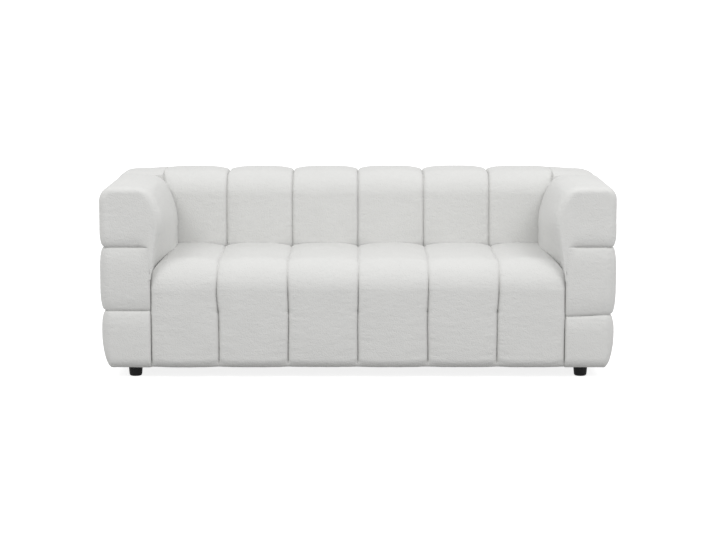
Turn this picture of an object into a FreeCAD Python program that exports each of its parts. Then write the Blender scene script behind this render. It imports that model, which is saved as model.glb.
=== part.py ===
import FreeCAD, Part
import math
import os
from FreeCAD import Vector

# Three-seat sofa with arms as high as its back, covered in deep sewn channels.
# Sizes are in millimetres. X runs along the sofa, Y from the front to the back and Z up.
# The origin is on the floor, under the middle of the sofa.

# Overall sizes
overall_width = 2000.0
overall_depth = 880.0
overall_height = 757.0
floor_gap = 40.0
arm_height = 744.0
arm_width = 197.0
seat_height = 462.0
seat_depth = 570.0

# Channels of the padded cover
seat_channels = 6
channel_pitch = 270.0
pad_thickness = 45.0
seam_thickness = 12.0
seam_radius = 70.0
seam_slope = 48.0
nose_radius = 135.0
seat_rear_drop = 85.0
seat_side_radius = 80.0
seat_hem_radius = 44.0
back_front_radius = 105.0
back_rear_radius = 40.0
tier_corner_radius = 58.0
lower_seam_height = 265.0
upper_seam_height = 513.0
hem_thickness = 4.0
hem_radius = 85.0

# Arm bolster and the end of the back behind it
bolster_overhang = 62.0
bolster_top_start = 65.0
bolster_bulge_height = 620.0
bolster_bulge_inset = 4.0
bolster_belly_height = 540.0
bolster_foot_height = 430.0
bolster_foot_inset = 11.0
bolster_outer_radius = 44.0
bolster_inner_radius = 60.0
bolster_bulge_radius = 200.0
bolster_belly_radius = 500.0
bolster_end_radius = 24.0
bolster_top_pad = 52.0
pinch_depth = 16.0
pinch_height = 18.0
pinch_radius = 40.0

# Seat box
rail_thickness = 25.0
rail_drop = 214.0
cross_rail_count = 3
cross_rail_drop = 62.0
cross_rail_spacing = 400.0
tenon_length = 15.0
tenon_thickness = 10.0
tenon_shoulder = 20.0
block_leg = 60.0
block_height = 60.0

# Back frame
upright_depth = 45.0
upright_width = 45.0
upright_count = 5
top_rail_height = 45.0
top_rail_drop = 90.0
board_thickness = 3.2
outside_back_radius = 16.0

# Arm frames
end_panel_thickness = 18.0
inner_panel_thickness = 15.0
top_board_thickness = 15.0
arm_rail_height = 60.0
arm_post_depth = 45.0
arm_post_count = 2
foot_block_length = 80.0
foot_block_height = 32.0

# Webbing, felt and dust cover
strap_width = 70.0
strap_thickness = 1.6
seat_strap_count = 6
seat_strap_inset = 75.0
cross_strap_count = 2
cross_strap_inset = 110.0
back_cross_strap_count = 2
back_strap_margin = 90.0
weave_ramp = 12.0
felt_thickness = 6.0
dust_cover_thickness = 1.2

# Feet
foot_top_diameter = 54.0
foot_bottom_diameter = 46.0
foot_side_inset = 130.0
foot_end_inset = 80.0

# Clearances
cover_gap = 0.3
wood_gap = 0.2
small_gap = 0.05
crown_clearance = 1.0
halvings = 60

# Planes that several pieces share
y_front = -overall_depth / 2
y_rear = overall_depth / 2
y_back_face = y_front + seat_depth
half_width = overall_width / 2
half_seat = half_width - arm_width
x_arm_base = half_width - pad_thickness
y_front_base = y_front + pad_thickness
y_rear_base = y_rear - pad_thickness
y_back_base = y_back_face + pad_thickness
z_seat_base = seat_height - pad_thickness
z_seat_step = seat_height - seat_rear_drop
z_back_base = overall_height - pad_thickness
z_arm_top = arm_height - bolster_top_pad
z_frame = floor_gap + dust_cover_thickness + 2 * small_gap
rail_height = seat_height - rail_drop
cross_rail_height = rail_height - cross_rail_drop
z_rail_top = z_frame + rail_height
z_top_rail = overall_height - top_rail_drop
y_rail_front = y_front_base + wood_gap
y_rail_rear = y_rear_base - wood_gap
y_upright_rear = y_rear_base - board_thickness - 2 * wood_gap
y_upright_front = y_upright_rear - upright_depth
y_rear_rail = y_upright_front - wood_gap - rail_thickness
strap_lift = strap_thickness + 2 * small_gap
webbing_height = 2 * strap_thickness + 4 * small_gap
x_seat_end = half_seat - wood_gap
x_arm_inner = half_seat + wood_gap
x_arm_outer = x_arm_base - wood_gap
foot_x = half_width - foot_side_inset


def box(x0, x1, y0, y1, z0, z1):
    """Rectangular block between two corners."""
    return Part.makeBox(x1 - x0, y1 - y0, z1 - z0, Vector(x0, y0, z0))


def mirrored(shape):
    """The same piece on the other side of the sofa."""
    return shape.mirror(Vector(0, 0, 0), Vector(1, 0, 0))


def evenly(count, low, high):
    """Places of count things, equally far apart, from low to high."""
    if count == 1:
        return [(low + high) / 2]
    return [low + (high - low) * i / (count - 1) for i in range(count)]


def rounded_wire(points, radii, closed=False):
    """Straight lines through points, with each corner rounded by a tangent arc."""
    count = len(points)
    ends = []
    for i, corner in enumerate(points):
        if radii[i] == 0 or (not closed and i in (0, count - 1)):
            ends.append((corner, None, corner))
            continue
        into = (points[i - 1] - corner).normalize()
        out = (points[(i + 1) % count] - corner).normalize()
        half = into.getAngle(out) / 2
        reach = radii[i] / math.tan(half)
        bisector = (into + out).normalize()
        middle = corner + bisector * (radii[i] / math.sin(half) - radii[i])
        ends.append((corner + into * reach, middle, corner + out * reach))
    edges = []
    for i, (start, middle, stop) in enumerate(ends):
        if middle is not None:
            edges.append(Part.Arc(start, middle, stop).toShape())
        if i + 1 < count or closed:
            following = ends[(i + 1) % count][0]
            if stop.distanceToPoint(following) > small_gap:
                edges.append(Part.LineSegment(stop, following).toShape())
    return Part.Wire(edges)


def crown_circle(crown, corners):
    """Centre across the pad and radius of the arc that crowns it, tangent to both corner arcs.

    crown is its greatest height, and each corner arc is (centre across, centre height, radius).
    Each corner alone fixes the radius for a given centre. The centre is where the two radii
    agree, found by halving.
    """

    def radius_for(centre, corner):
        across, height, radius = corner
        drop = crown - height
        return ((centre - across) ** 2 + drop**2 - radius**2) / (2 * (drop - radius))

    left, right = corners[0][0], corners[1][0]
    for _ in range(halvings):
        centre = (left + right) / 2
        if radius_for(centre, corners[0]) < radius_for(centre, corners[1]):
            left = centre
        else:
            right = centre
    return centre, radius_for(centre, corners[0])


def corner_arc(width, side, edge):
    """Centre and radius of the arc at one edge of a pad, which starts there at the seam slope."""
    thickness, radius = edge
    slope = math.radians(seam_slope)
    across = side * (width / 2 - radius * math.sin(slope))
    return across, thickness - radius * math.cos(slope), radius


def pad_section(width, origin, across, outward, low=None):
    """Closed outline of a padded channel: flat base, thin edges at the seams, and a crown.

    low is the thickness and the radius of the first edge, where it isn't a seam.
    """
    seam = (seam_thickness, seam_radius)
    low = low or seam
    corners = [corner_arc(width, -1, low), corner_arc(width, 1, seam)]
    centre, radius = crown_circle(pad_thickness, corners)
    crown = (centre, pad_thickness - radius, radius)

    def place(a, b):
        return origin + across * a + outward * b

    def on_arc(arc, angle):
        return place(arc[0] + arc[2] * math.cos(angle), arc[1] + arc[2] * math.sin(angle))

    def arc_between(arc, start, stop):
        return Part.Arc(on_arc(arc, start), on_arc(arc, (start + stop) / 2), on_arc(arc, stop))

    slope = math.radians(seam_slope)
    joins = [math.atan2(arc[1] - crown[1], arc[0] - crown[0]) for arc in corners]
    half = width / 2
    edges = [
        Part.LineSegment(place(-half, 0), place(-half, low[0])),
        arc_between(corners[0], math.pi / 2 + slope, joins[0]),
        arc_between(crown, joins[0], joins[1]),
        arc_between(corners[1], joins[1], math.pi / 2 - slope),
        Part.LineSegment(place(half, seam[0]), place(half, 0)),
        Part.LineSegment(place(half, 0), place(-half, 0)),
    ]
    return Part.Wire([edge.toShape() for edge in edges])


def pad(path, section):
    """A padded channel: its outline carried along the lines and arcs that its base follows.

    Each line extrudes the outline and each arc turns it about the arc's centre, so that the
    outline stays square to the path.
    """
    face = Part.Face(section)
    runs = []
    for edge in path.OrderedEdges:
        start = edge.valueAt(edge.FirstParameter)
        stop = edge.valueAt(edge.LastParameter)
        if edge.Curve.TypeId == "Part::GeomLine":
            runs.append(face.extrude(stop - start))
            face.translate(stop - start)
        else:
            centre = edge.Curve.Center
            axis = (start - centre).cross(stop - centre).normalize()
            angle = math.degrees((start - centre).getAngle(stop - centre))
            runs.append(face.revolve(centre, axis, angle))
            face.rotate(centre, axis, angle)
    return runs[0].fuse(runs[1:]).removeSplitter().Solids[0]


def channel_edges():
    """Where the channel seams are along the sofa, the two outer edges included."""
    inner = seat_channels // 2 - 1
    seams = [channel_pitch * i for i in range(-inner, inner + 1)]
    return [-half_seat] + seams + [half_seat]


def seat_envelope(extra):
    """The space that the seat fills, with its side edges rounded, from front to back.

    It stands just clear of the crowns of the channels.
    """
    side = half_seat + extra
    top = seat_height + crown_clearance + extra
    y_start = y_front - pad_thickness
    corners = [
        Vector(-side, y_start, 0),
        Vector(-side, y_start, top),
        Vector(side, y_start, top),
        Vector(side, y_start, 0),
    ]
    rounding = seat_side_radius + extra
    outline = rounded_wire(corners, [0, rounding, rounding, 0], closed=True)
    return Part.Face(outline).extrude(Vector(0, overall_depth, 0))


def side_envelope(y_crown, front_radius, rear_radius):
    """The space that the channels fill along the whole seat, seen from the side.

    Its lower front edge and its upper rear edge are rounded. It stands just clear of the crowns,
    which reach y_crown in front.
    """
    y0 = y_crown - crown_clearance
    top = overall_height + crown_clearance
    corners = [
        Vector(-half_seat, y0, floor_gap),
        Vector(-half_seat, y0, top),
        Vector(-half_seat, y_rear, top),
        Vector(-half_seat, y_rear, floor_gap),
    ]
    outline = rounded_wire(corners, [front_radius, 0, rear_radius, 0], closed=True)
    return Part.Face(outline).extrude(Vector(2 * half_seat, 0, 0))


def seat_channel(x0, x1):
    """One seat channel, from the back forwards, round the nose and down to its hem."""
    middle = (x0 + x1) / 2
    corners = [
        Vector(middle, y_back_face - cover_gap, z_seat_base),
        Vector(middle, y_front_base, z_seat_base),
        Vector(middle, y_front_base, floor_gap),
    ]
    path = rounded_wire(corners, [0, nose_radius - pad_thickness, 0])
    section = pad_section(x1 - x0 - 2 * cover_gap, corners[0], Vector(1, 0, 0), Vector(0, 0, 1))
    channel = pad(path, section).common(side_envelope(y_front, seat_hem_radius, 0))
    if abs(middle) + channel_pitch > half_seat:
        channel = channel.common(seat_envelope(-cover_gap))
    return channel


def back_channel(x0, x1):
    """One back channel: up the front of the back, over its top and round the upper rear edge."""
    middle = (x0 + x1) / 2
    corners = [
        Vector(middle, y_back_base, z_seat_step + cover_gap),
        Vector(middle, y_back_base, z_back_base),
        Vector(middle, y_rear, z_back_base),
    ]
    path = rounded_wire(corners, [0, back_front_radius - pad_thickness, 0])
    section = pad_section(x1 - x0 - 2 * cover_gap, corners[0], Vector(1, 0, 0), Vector(0, -1, 0))
    return pad(path, section).common(side_envelope(y_back_face, 0, back_rear_radius))


def channels(make):
    """All the channels between the arms, made one by one and kept as separate solids."""
    edges = channel_edges()
    return Part.makeCompound([make(x0, x1) for x0, x1 in zip(edges, edges[1:])])


def arm_channel(z0, z1, low=None):
    """One channel of the right arm, round its front, its outer side and its rear."""
    middle = (z0 + z1) / 2
    corners = [
        Vector(half_seat + cover_gap, y_front_base, middle),
        Vector(x_arm_base, y_front_base, middle),
        Vector(x_arm_base, y_rear_base, middle),
        Vector(half_seat + cover_gap, y_rear_base, middle),
    ]
    turn = tier_corner_radius - pad_thickness
    path = rounded_wire(corners, [0, turn, turn, 0])
    width = z1 - z0 - 2 * cover_gap
    section = pad_section(width, corners[0], Vector(0, 0, 1), Vector(0, -1, 0), low)
    return pad(path, section)


def arm_core(extra=0.0):
    """The space inside the padding of the right arm, which the arm frame fills."""
    corners = [
        Vector(half_seat - extra, y_front_base - extra, floor_gap),
        Vector(x_arm_base + extra, y_front_base - extra, floor_gap),
        Vector(x_arm_base + extra, y_rear_base + extra, floor_gap),
        Vector(half_seat - extra, y_rear_base + extra, floor_gap),
    ]
    turn = tier_corner_radius - pad_thickness + extra
    outline = rounded_wire(corners, [0, turn, turn, 0], closed=True)
    return Part.Face(outline).extrude(Vector(0, 0, z_arm_top + extra - floor_gap))


def rounded_end(block, y_end):
    """The block with its end face at y_end rounded, except where the face meets a seam below."""
    edges = []
    for edge in block.Edges:
        bounds = edge.BoundBox
        on_end = abs(bounds.YMin - y_end) < small_gap and abs(bounds.YMax - y_end) < small_gap
        if on_end and bounds.ZMax > upper_seam_height + small_gap:
            edges.append(edge)
    return block.makeFillet(bolster_end_radius, edges)


def outer_profile(y):
    """Points and corner radii of the top channel's outer side, with its pinch at the seam."""
    points = [
        Vector(half_width - pinch_depth, y, upper_seam_height),
        Vector(half_width, y, upper_seam_height + pinch_height),
        Vector(half_width, y, arm_height),
    ]
    return points, [0, pinch_radius, bolster_outer_radius]


def arm_bolster():
    """The top channel of the right arm, rolled over its top and down the side by the seat."""
    x_belly = half_seat - bolster_overhang
    points, radii = outer_profile(y_front)
    points += [
        Vector(x_belly + bolster_top_start, y_front, arm_height),
        Vector(x_belly + bolster_bulge_inset, y_front, bolster_bulge_height),
        Vector(x_belly, y_front, bolster_belly_height),
        Vector(x_belly + bolster_foot_inset, y_front, bolster_foot_height),
        Vector(half_seat, y_front, bolster_foot_height),
        Vector(half_seat, y_front, upper_seam_height),
    ]
    radii += [bolster_inner_radius, bolster_bulge_radius, bolster_belly_radius, 0, 0, 0]
    outline = rounded_wire(points, radii, closed=True)
    block = Part.Face(outline).extrude(Vector(0, seat_depth - cover_gap, 0))
    block = rounded_end(block, y_front)
    return block.cut(arm_core(cover_gap)).cut(seat_envelope(cover_gap))


def back_end_block():
    """The end of the back behind the right arm, level with the arm's top channel."""
    x_inner = half_seat + cover_gap
    y_start = y_back_face + cover_gap
    points, radii = outer_profile(y_start)
    points += [Vector(x_inner, y_start, arm_height), Vector(x_inner, y_start, upper_seam_height)]
    outline = rounded_wire(points, radii + [0, 0], closed=True)
    block = Part.Face(outline).extrude(Vector(0, y_rear - y_start, 0))
    return rounded_end(block, y_rear).cut(arm_core(cover_gap))


def outside_back_panel():
    """The plain padded panel of the outside back, up to the ends of the back channels."""
    panel = box(
        -x_seat_end,
        x_seat_end,
        y_rear_base + cover_gap,
        y_rear,
        floor_gap,
        z_back_base - cover_gap,
    )
    edges = []
    for edge in panel.Edges:
        if edge.BoundBox.YMin > y_rear_base + cover_gap + small_gap:
            edges.append(edge)
    return panel.makeFillet(outside_back_radius, edges)


def seat_foam():
    """The foam of the seat, rounded at the nose, with a step that the back stands on."""
    z_bottom = z_rail_top + webbing_height + felt_thickness + small_gap
    y_end = y_upright_front - webbing_height - cover_gap
    corners = [
        Vector(-half_seat, y_rail_front, z_bottom),
        Vector(-half_seat, y_rail_front, z_seat_base - cover_gap),
        Vector(-half_seat, y_back_face - cover_gap, z_seat_base - cover_gap),
        Vector(-half_seat, y_back_face - cover_gap, z_seat_step),
        Vector(-half_seat, y_end, z_seat_step),
        Vector(-half_seat, y_end, z_bottom),
    ]
    nose = nose_radius - pad_thickness - cover_gap
    outline = rounded_wire(corners, [0, nose, 0, 0, 0, 0], closed=True)
    block = Part.Face(outline).extrude(Vector(2 * half_seat, 0, 0))
    return block.common(seat_envelope(-cover_gap))


def back_foam():
    """The foam of the back, which rolls over the top rail."""
    y_front_face = y_back_base + cover_gap
    y_webbing = y_upright_front - webbing_height - cover_gap
    z_top = z_back_base - cover_gap
    corners = [
        Vector(-x_seat_end, y_front_face, z_seat_step + cover_gap),
        Vector(-x_seat_end, y_front_face, z_top),
        Vector(-x_seat_end, y_rear_base - cover_gap, z_top),
        Vector(-x_seat_end, y_rear_base - cover_gap, z_top_rail + cover_gap),
        Vector(-x_seat_end, y_webbing, z_top_rail + cover_gap),
        Vector(-x_seat_end, y_webbing, z_seat_step + cover_gap),
    ]
    turn = back_front_radius - pad_thickness - cover_gap
    outline = rounded_wire(corners, [0, turn, 0, 0, 0, 0], closed=True)
    return Part.Face(outline).extrude(Vector(2 * x_seat_end, 0, 0))


def tenon_box(x0, x1, y0, y1, z0, z1, extra):
    """A tenon, or with extra all round, the mortise that takes it."""
    return box(x0 - extra, x1 + extra, y0 - extra, y1 + extra, z0 - extra, z1 + extra)


def cross_rail(x):
    """One rail across the seat box, with a tenon at each end."""
    half = rail_thickness / 2
    top = z_frame + cross_rail_height
    y0 = y_rail_front + rail_thickness + wood_gap
    y1 = y_rear_rail - wood_gap
    rail = box(x - half, x + half, y0, y1, z_frame, top)
    return rail.fuse(cross_rail_tenons(x, 0)).removeSplitter()


def cross_rail_tenons(x, extra):
    """The two tenons of the cross rail at x, or the space that their mortises need."""
    half = tenon_thickness / 2
    z0 = z_frame + tenon_shoulder
    z1 = z_frame + cross_rail_height - tenon_shoulder
    y0 = y_rail_front + rail_thickness
    front = tenon_box(x - half, x + half, y0 - tenon_length, y0 + wood_gap, z0, z1, extra)
    rear = tenon_box(
        x - half, x + half, y_rear_rail - wood_gap, y_rear_rail + tenon_length, z0, z1, extra
    )
    return front.fuse(rear)


def cross_rail_places():
    """Where the rails across the seat box are."""
    reach = cross_rail_spacing * (cross_rail_count - 1) / 2
    return evenly(cross_rail_count, -reach, reach)


def long_rail(y0):
    """A rail along the seat box, with the mortises for the cross rails."""
    rail = box(-x_seat_end, x_seat_end, y0, y0 + rail_thickness, z_frame, z_rail_top)
    return rail.cut(Part.makeCompound([cross_rail_tenons(x, wood_gap) for x in cross_rail_places()]))


def side_rail():
    """The right end of the seat box, between its front and rear rails."""
    x0 = x_seat_end - rail_thickness
    y0 = y_rail_front + rail_thickness + wood_gap
    return box(x0, x_seat_end, y0, y_rear_rail - wood_gap, z_frame, z_rail_top)


def corner_blocks():
    """Glued triangular blocks in the four inner corners of the seat box."""
    x = x_seat_end - rail_thickness - wood_gap
    z = z_frame + rail_height / 2
    blocks = []
    for y, leg in (
        (y_rail_front + rail_thickness + wood_gap, block_leg),
        (y_rear_rail - wood_gap, -block_leg),
    ):
        points = [Vector(x, y, z), Vector(x - block_leg, y, z), Vector(x, y + leg, z)]
        block = Part.Face(Part.makePolygon(points + points[:1])).extrude(Vector(0, 0, block_height))
        blocks += [block, mirrored(block)]
    return Part.makeCompound(blocks)


def upright_places():
    """Where the uprights of the back are, along the sofa."""
    reach = x_seat_end - upright_width / 2
    return evenly(upright_count, -reach, reach)


def upright_tenons(extra):
    """The tenons on top of the uprights, or the space that their mortises need."""
    half = (upright_width - tenon_shoulder) / 2
    middle = (y_upright_front + y_upright_rear) / 2
    z = z_top_rail - top_rail_height
    tenons = []
    for x in upright_places():
        tenons.append(
            tenon_box(
                x - half,
                x + half,
                middle - tenon_thickness / 2,
                middle + tenon_thickness / 2,
                z - wood_gap,
                z + tenon_length,
                extra,
            )
        )
    return tenons


def back_uprights():
    """The posts of the back, each with a tenon up into the top rail."""
    half = upright_width / 2
    top = z_top_rail - top_rail_height - wood_gap
    posts = []
    for x, tenon in zip(upright_places(), upright_tenons(0)):
        post = box(x - half, x + half, y_upright_front, y_upright_rear, z_frame, top)
        posts.append(post.fuse(tenon).removeSplitter())
    return Part.makeCompound(posts)


def back_top_rail():
    """The rail along the top of the back, with a mortise for each upright."""
    z = z_top_rail - top_rail_height
    rail = box(-x_seat_end, x_seat_end, y_upright_front, y_upright_rear, z, z_top_rail)
    return rail.cut(Part.makeCompound(upright_tenons(wood_gap)))


def back_board():
    """The thin board behind the uprights, which the outside back is stapled to."""
    y0 = y_upright_rear + wood_gap
    return box(-x_seat_end, x_seat_end, y0, y0 + board_thickness, z_frame, z_top_rail)


def strap(place, start, stop, lifted, width):
    """A webbing strap from start to stop, which climbs over the straps at the lifted places.

    place turns a distance along the strap and a height above its seat into a point.
    """
    half = strap_width / 2 + small_gap
    low = [(start, 0)]
    for s in lifted:
        low.append((s - half - weave_ramp, 0))
        low.append((s - half, strap_lift))
        low.append((s + half, strap_lift))
        low.append((s + half + weave_ramp, 0))
    low.append((stop, 0))
    points = [place(s, h) for s, h in low]
    points += [place(s, h + strap_thickness) for s, h in reversed(low)]
    return Part.Face(Part.makePolygon(points + points[:1])).extrude(width)


def over(places, parity):
    """Every second one of the places, where a strap goes over the one it crosses."""
    return [place for i, place in enumerate(places) if (i + parity) % 2 == 0]


def seat_webbing():
    """Elastic webbing, woven, stretched over the top of the seat box."""
    z = z_rail_top + small_gap
    reach = half_seat - seat_strap_inset
    columns = evenly(seat_strap_count, -reach, reach)
    y0 = y_rail_front + small_gap
    y1 = y_rear_rail + rail_thickness - webbing_height
    rows = evenly(cross_strap_count, y0 + cross_strap_inset, y1 - cross_strap_inset)
    half = strap_width / 2
    straps = []
    for i, x in enumerate(columns):

        def along_y(s, h):
            return Vector(x - half, s, z + h)

        straps.append(strap(along_y, y0, y1, over(rows, i), Vector(strap_width, 0, 0)))
    for j, y in enumerate(rows):

        def along_x(s, h):
            return Vector(s, y - half, z + h)

        lifted = over(columns, j + 1)
        straps.append(strap(along_x, -x_seat_end, x_seat_end, lifted, Vector(0, strap_width, 0)))
    return Part.makeCompound(straps)


def back_webbing():
    """Webbing on the front of the back frame: one strap behind each channel, and two across."""
    y = y_upright_front - small_gap
    edges = channel_edges()
    columns = [(x0 + x1) / 2 for x0, x1 in zip(edges, edges[1:])]
    z0 = z_rail_top + small_gap
    z1 = z_top_rail - small_gap
    rows = evenly(back_cross_strap_count, z_seat_step + back_strap_margin, z1 - back_strap_margin)
    half = strap_width / 2
    straps = []
    for i, x in enumerate(columns):

        def along_z(s, h):
            return Vector(x - half, y - h, s)

        straps.append(strap(along_z, z0, z1, over(rows, i), Vector(strap_width, 0, 0)))
    for j, row in enumerate(rows):

        def along_x(s, h):
            return Vector(s, y - h, row - half)

        lifted = over(columns, j + 1)
        straps.append(strap(along_x, -x_seat_end, x_seat_end, lifted, Vector(0, 0, strap_width)))
    return Part.makeCompound(straps)


def felt_pad():
    """The felt between the webbing and the seat foam."""
    z = z_rail_top + webbing_height
    y_end = y_upright_front - webbing_height - cover_gap
    return box(-x_seat_end, x_seat_end, y_rail_front, y_end, z, z + felt_thickness)


def arm_end_panel(y):
    """The plywood panel across one end of the right arm, rounded where the padding turns."""
    top = z_arm_top - wood_gap
    panel = box(x_arm_inner, x_arm_outer, y, y + end_panel_thickness, z_frame, top)
    return panel.common(arm_core(-wood_gap))


def arm_length():
    """The two ends, along Y, of what lies between the arm's end panels."""
    return y_rail_front + end_panel_thickness + wood_gap, y_rail_rear - end_panel_thickness - wood_gap


def arm_top_board():
    """The board along the top of the right arm."""
    y0, y1 = arm_length()
    top = z_arm_top - wood_gap
    return box(x_arm_inner, x_arm_outer, y0, y1, top - top_board_thickness, top)


def arm_inner_panel():
    """The plywood side of the right arm by the seat."""
    y0, y1 = arm_length()
    top = z_arm_top - top_board_thickness - 2 * wood_gap
    return box(x_arm_inner, x_arm_inner + inner_panel_thickness, y0, y1, z_frame, top)


def arm_outer_board():
    """The thin board on the outer side of the right arm, under the padding."""
    y0, y1 = arm_length()
    top = z_arm_top - top_board_thickness - 2 * wood_gap
    board = box(x_arm_outer - board_thickness, x_arm_outer, y0, y1, z_frame, top)
    return board.common(arm_core(-wood_gap))


def arm_middle():
    """The two ends, along X, of what stands between the sides of the right arm."""
    return x_arm_inner + inner_panel_thickness + wood_gap, x_arm_outer - board_thickness - wood_gap


def foot_block(y):
    """The block that one foot of the right arm is screwed up into."""
    x0, x1 = arm_middle()
    y0, y1 = arm_length()
    start = y0 if y < 0 else y1 - foot_block_length
    return box(x0, x1, start, start + foot_block_length, z_frame, z_frame + foot_block_height)


def arm_bottom_rail():
    """The rail along the bottom of the right arm, between its foot blocks."""
    x1 = arm_middle()[1]
    y0, y1 = arm_length()
    reach = foot_block_length + wood_gap
    top = z_frame + arm_rail_height
    return box(x1 - rail_thickness, x1, y0 + reach, y1 - reach, z_frame, top)


def arm_posts():
    """The posts between the two sides of the right arm."""
    x0, x1 = arm_middle()
    y0, y1 = arm_length()
    step = (y1 - y0) / (arm_post_count + 1)
    bottom = z_frame + arm_rail_height + wood_gap
    top = z_arm_top - top_board_thickness - 2 * wood_gap
    posts = []
    for y in evenly(arm_post_count, y0 + step, y1 - step):
        posts.append(box(x0, x1, y - arm_post_depth / 2, y + arm_post_depth / 2, bottom, top))
    return Part.makeCompound(posts)


def foot(x, y):
    """A tapered plastic foot, wider at its top."""
    bottom, top = foot_bottom_diameter / 2, foot_top_diameter / 2
    return Part.makeCone(bottom, top, floor_gap, Vector(x, y, 0))


def foot_places():
    """Where the feet are: one under each end of each arm, and one under the middle rail."""
    places = [(0.0, 0.0)]
    for y in (y_front + foot_end_inset, y_rear - foot_end_inset):
        places += [(foot_x, y), (-foot_x, y)]
    return places


def dust_cover():
    """The black cloth stapled over the bottom of the frame, which the feet hold up."""
    z = floor_gap + small_gap
    corners = [
        Vector(-x_arm_outer, y_rail_front, z),
        Vector(x_arm_outer, y_rail_front, z),
        Vector(x_arm_outer, y_rail_rear, z),
        Vector(-x_arm_outer, y_rail_rear, z),
    ]
    turn = tier_corner_radius - pad_thickness
    outline = rounded_wire(corners, [turn] * 4, closed=True)
    return Part.Face(outline).extrude(Vector(0, 0, dust_cover_thickness))


def right_cover():
    """The padded pieces on the right arm by name. Each is one node with its mirror image."""
    return {
        "arm_lower_channels": arm_channel(floor_gap, lower_seam_height, (hem_thickness, hem_radius)),
        "arm_middle_channels": arm_channel(lower_seam_height, upper_seam_height),
        "arm_bolsters": arm_bolster(),
        "back_end_blocks": back_end_block(),
    }


def right_arm():
    """The pieces of the right arm's frame by name, which the left arm mirrors."""
    return {
        "arm_front_panel": arm_end_panel(y_rail_front),
        "arm_rear_panel": arm_end_panel(y_rail_rear - end_panel_thickness),
        "arm_top_board": arm_top_board(),
        "arm_inner_panel": arm_inner_panel(),
        "arm_outer_board": arm_outer_board(),
        "arm_bottom_rail": arm_bottom_rail(),
        "arm_posts": arm_posts(),
        "front_foot_block": foot_block(y_front + foot_end_inset),
        "rear_foot_block": foot_block(y_rear - foot_end_inset),
        "seat_side_rail": side_rail(),
    }


nodes = {
    "seat_cover": channels(seat_channel),
    "back_cover": channels(back_channel),
    "outside_back_panel": outside_back_panel(),
    "seat_foam": seat_foam(),
    "back_foam": back_foam(),
    "felt_pad": felt_pad(),
    "seat_webbing": seat_webbing(),
    "back_webbing": back_webbing(),
    "seat_front_rail": long_rail(y_rail_front),
    "seat_rear_rail": long_rail(y_rear_rail),
    "seat_corner_blocks": corner_blocks(),
    "back_uprights": back_uprights(),
    "back_top_rail": back_top_rail(),
    "back_board": back_board(),
    "dust_cover": dust_cover(),
    "feet": Part.makeCompound([foot(x, y) for x, y in foot_places()]),
}
for i, x in enumerate(cross_rail_places()):
    nodes["seat_cross_rail_%d" % (i + 1)] = cross_rail(x)
for name, piece in right_cover().items():
    nodes[name] = Part.makeCompound([piece, mirrored(piece)])
for name, piece in right_arm().items():
    nodes[name + "_right"] = piece
    nodes[name + "_left"] = mirrored(piece)

os.makedirs("parts", exist_ok=True)
for name, shape in nodes.items():
    shape.exportStep("parts/%s.step" % name)
    print("%s: %d solids, %.1f litres" % (name, len(shape.Solids), shape.Volume / 1e6))
print("%d nodes" % len(nodes))
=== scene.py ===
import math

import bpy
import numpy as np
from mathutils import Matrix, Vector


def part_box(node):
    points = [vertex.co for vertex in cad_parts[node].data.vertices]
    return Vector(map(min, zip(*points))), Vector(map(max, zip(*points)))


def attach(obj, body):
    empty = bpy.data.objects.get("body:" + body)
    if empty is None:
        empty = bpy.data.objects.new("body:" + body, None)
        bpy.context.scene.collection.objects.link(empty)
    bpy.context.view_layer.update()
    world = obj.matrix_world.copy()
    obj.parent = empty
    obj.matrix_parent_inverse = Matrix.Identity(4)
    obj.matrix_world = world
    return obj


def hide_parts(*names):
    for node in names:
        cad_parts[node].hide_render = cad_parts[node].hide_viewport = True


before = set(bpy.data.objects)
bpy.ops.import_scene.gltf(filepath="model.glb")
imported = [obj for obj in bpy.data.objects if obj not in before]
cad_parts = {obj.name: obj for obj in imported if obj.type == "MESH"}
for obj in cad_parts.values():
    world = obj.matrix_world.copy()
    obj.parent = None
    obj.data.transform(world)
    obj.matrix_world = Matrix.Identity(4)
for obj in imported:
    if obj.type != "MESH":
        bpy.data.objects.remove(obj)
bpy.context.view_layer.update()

# %% [markdown]
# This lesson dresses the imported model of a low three-seat sofa. Its frame, foam and joinery
# come from the CAD and stay where they are. What Blender adds is the cloth: a thick off-white
# boucle, sewn into deep channels over the seat and back and into stacked tiers on the arms.
# Every soft surface is a numpy grid, so that its form can be read as a formula.

# %% [markdown]
# The CAD gives every place. These few lines read the corners of its nodes, so that the cloth
# sits exactly on what carries it.

# %% Places read from the CAD
GAP = 0.0003


def low(node, axis):
    """The lowest value of a CAD node along an axis."""
    return float(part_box(node)[0][axis])


def high(node, axis):
    """The highest value of a CAD node along an axis."""
    return float(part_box(node)[1][axis])


X, Y, Z = 0, 1, 2
half_width = high("arm_lower_channels", X)
front = low("seat_cover", Y)
rear = high("outside_back_panel", Y)
hem = low("seat_cover", Z)
seat_top = high("seat_cover", Z)
seat_rear = high("seat_cover", Y)
back_face = low("back_cover", Y)
back_foot = low("back_cover", Z)
back_top = high("back_cover", Z)
half_seat = high("seat_cover", X) + GAP
arm_top = high("arm_bolsters", Z)
lower_seam = high("arm_lower_channels", Z) + GAP
upper_seam = high("arm_middle_channels", Z) + GAP
panel_top = high("outside_back_panel", Z)
panel_inside = low("outside_back_panel", Y)
print("seat", half_seat, seat_top, "arm", half_width, arm_top, "seams", lower_seam, upper_seam)

# %% [markdown]
# Noise that is the same on each run comes from a small table of random numbers. A point's
# value is a smooth mix of the eight table entries round it, which gives soft lumps of one
# size. Blender has noise textures too, but a table can be read for whole arrays at once. The
# cloth's nubs and slack use it, and so do its wandering seams.

# %% Smooth noise and other formulas
TABLE_SIZE = 64
table = np.random.default_rng(7).random((TABLE_SIZE,) * 3)


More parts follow.
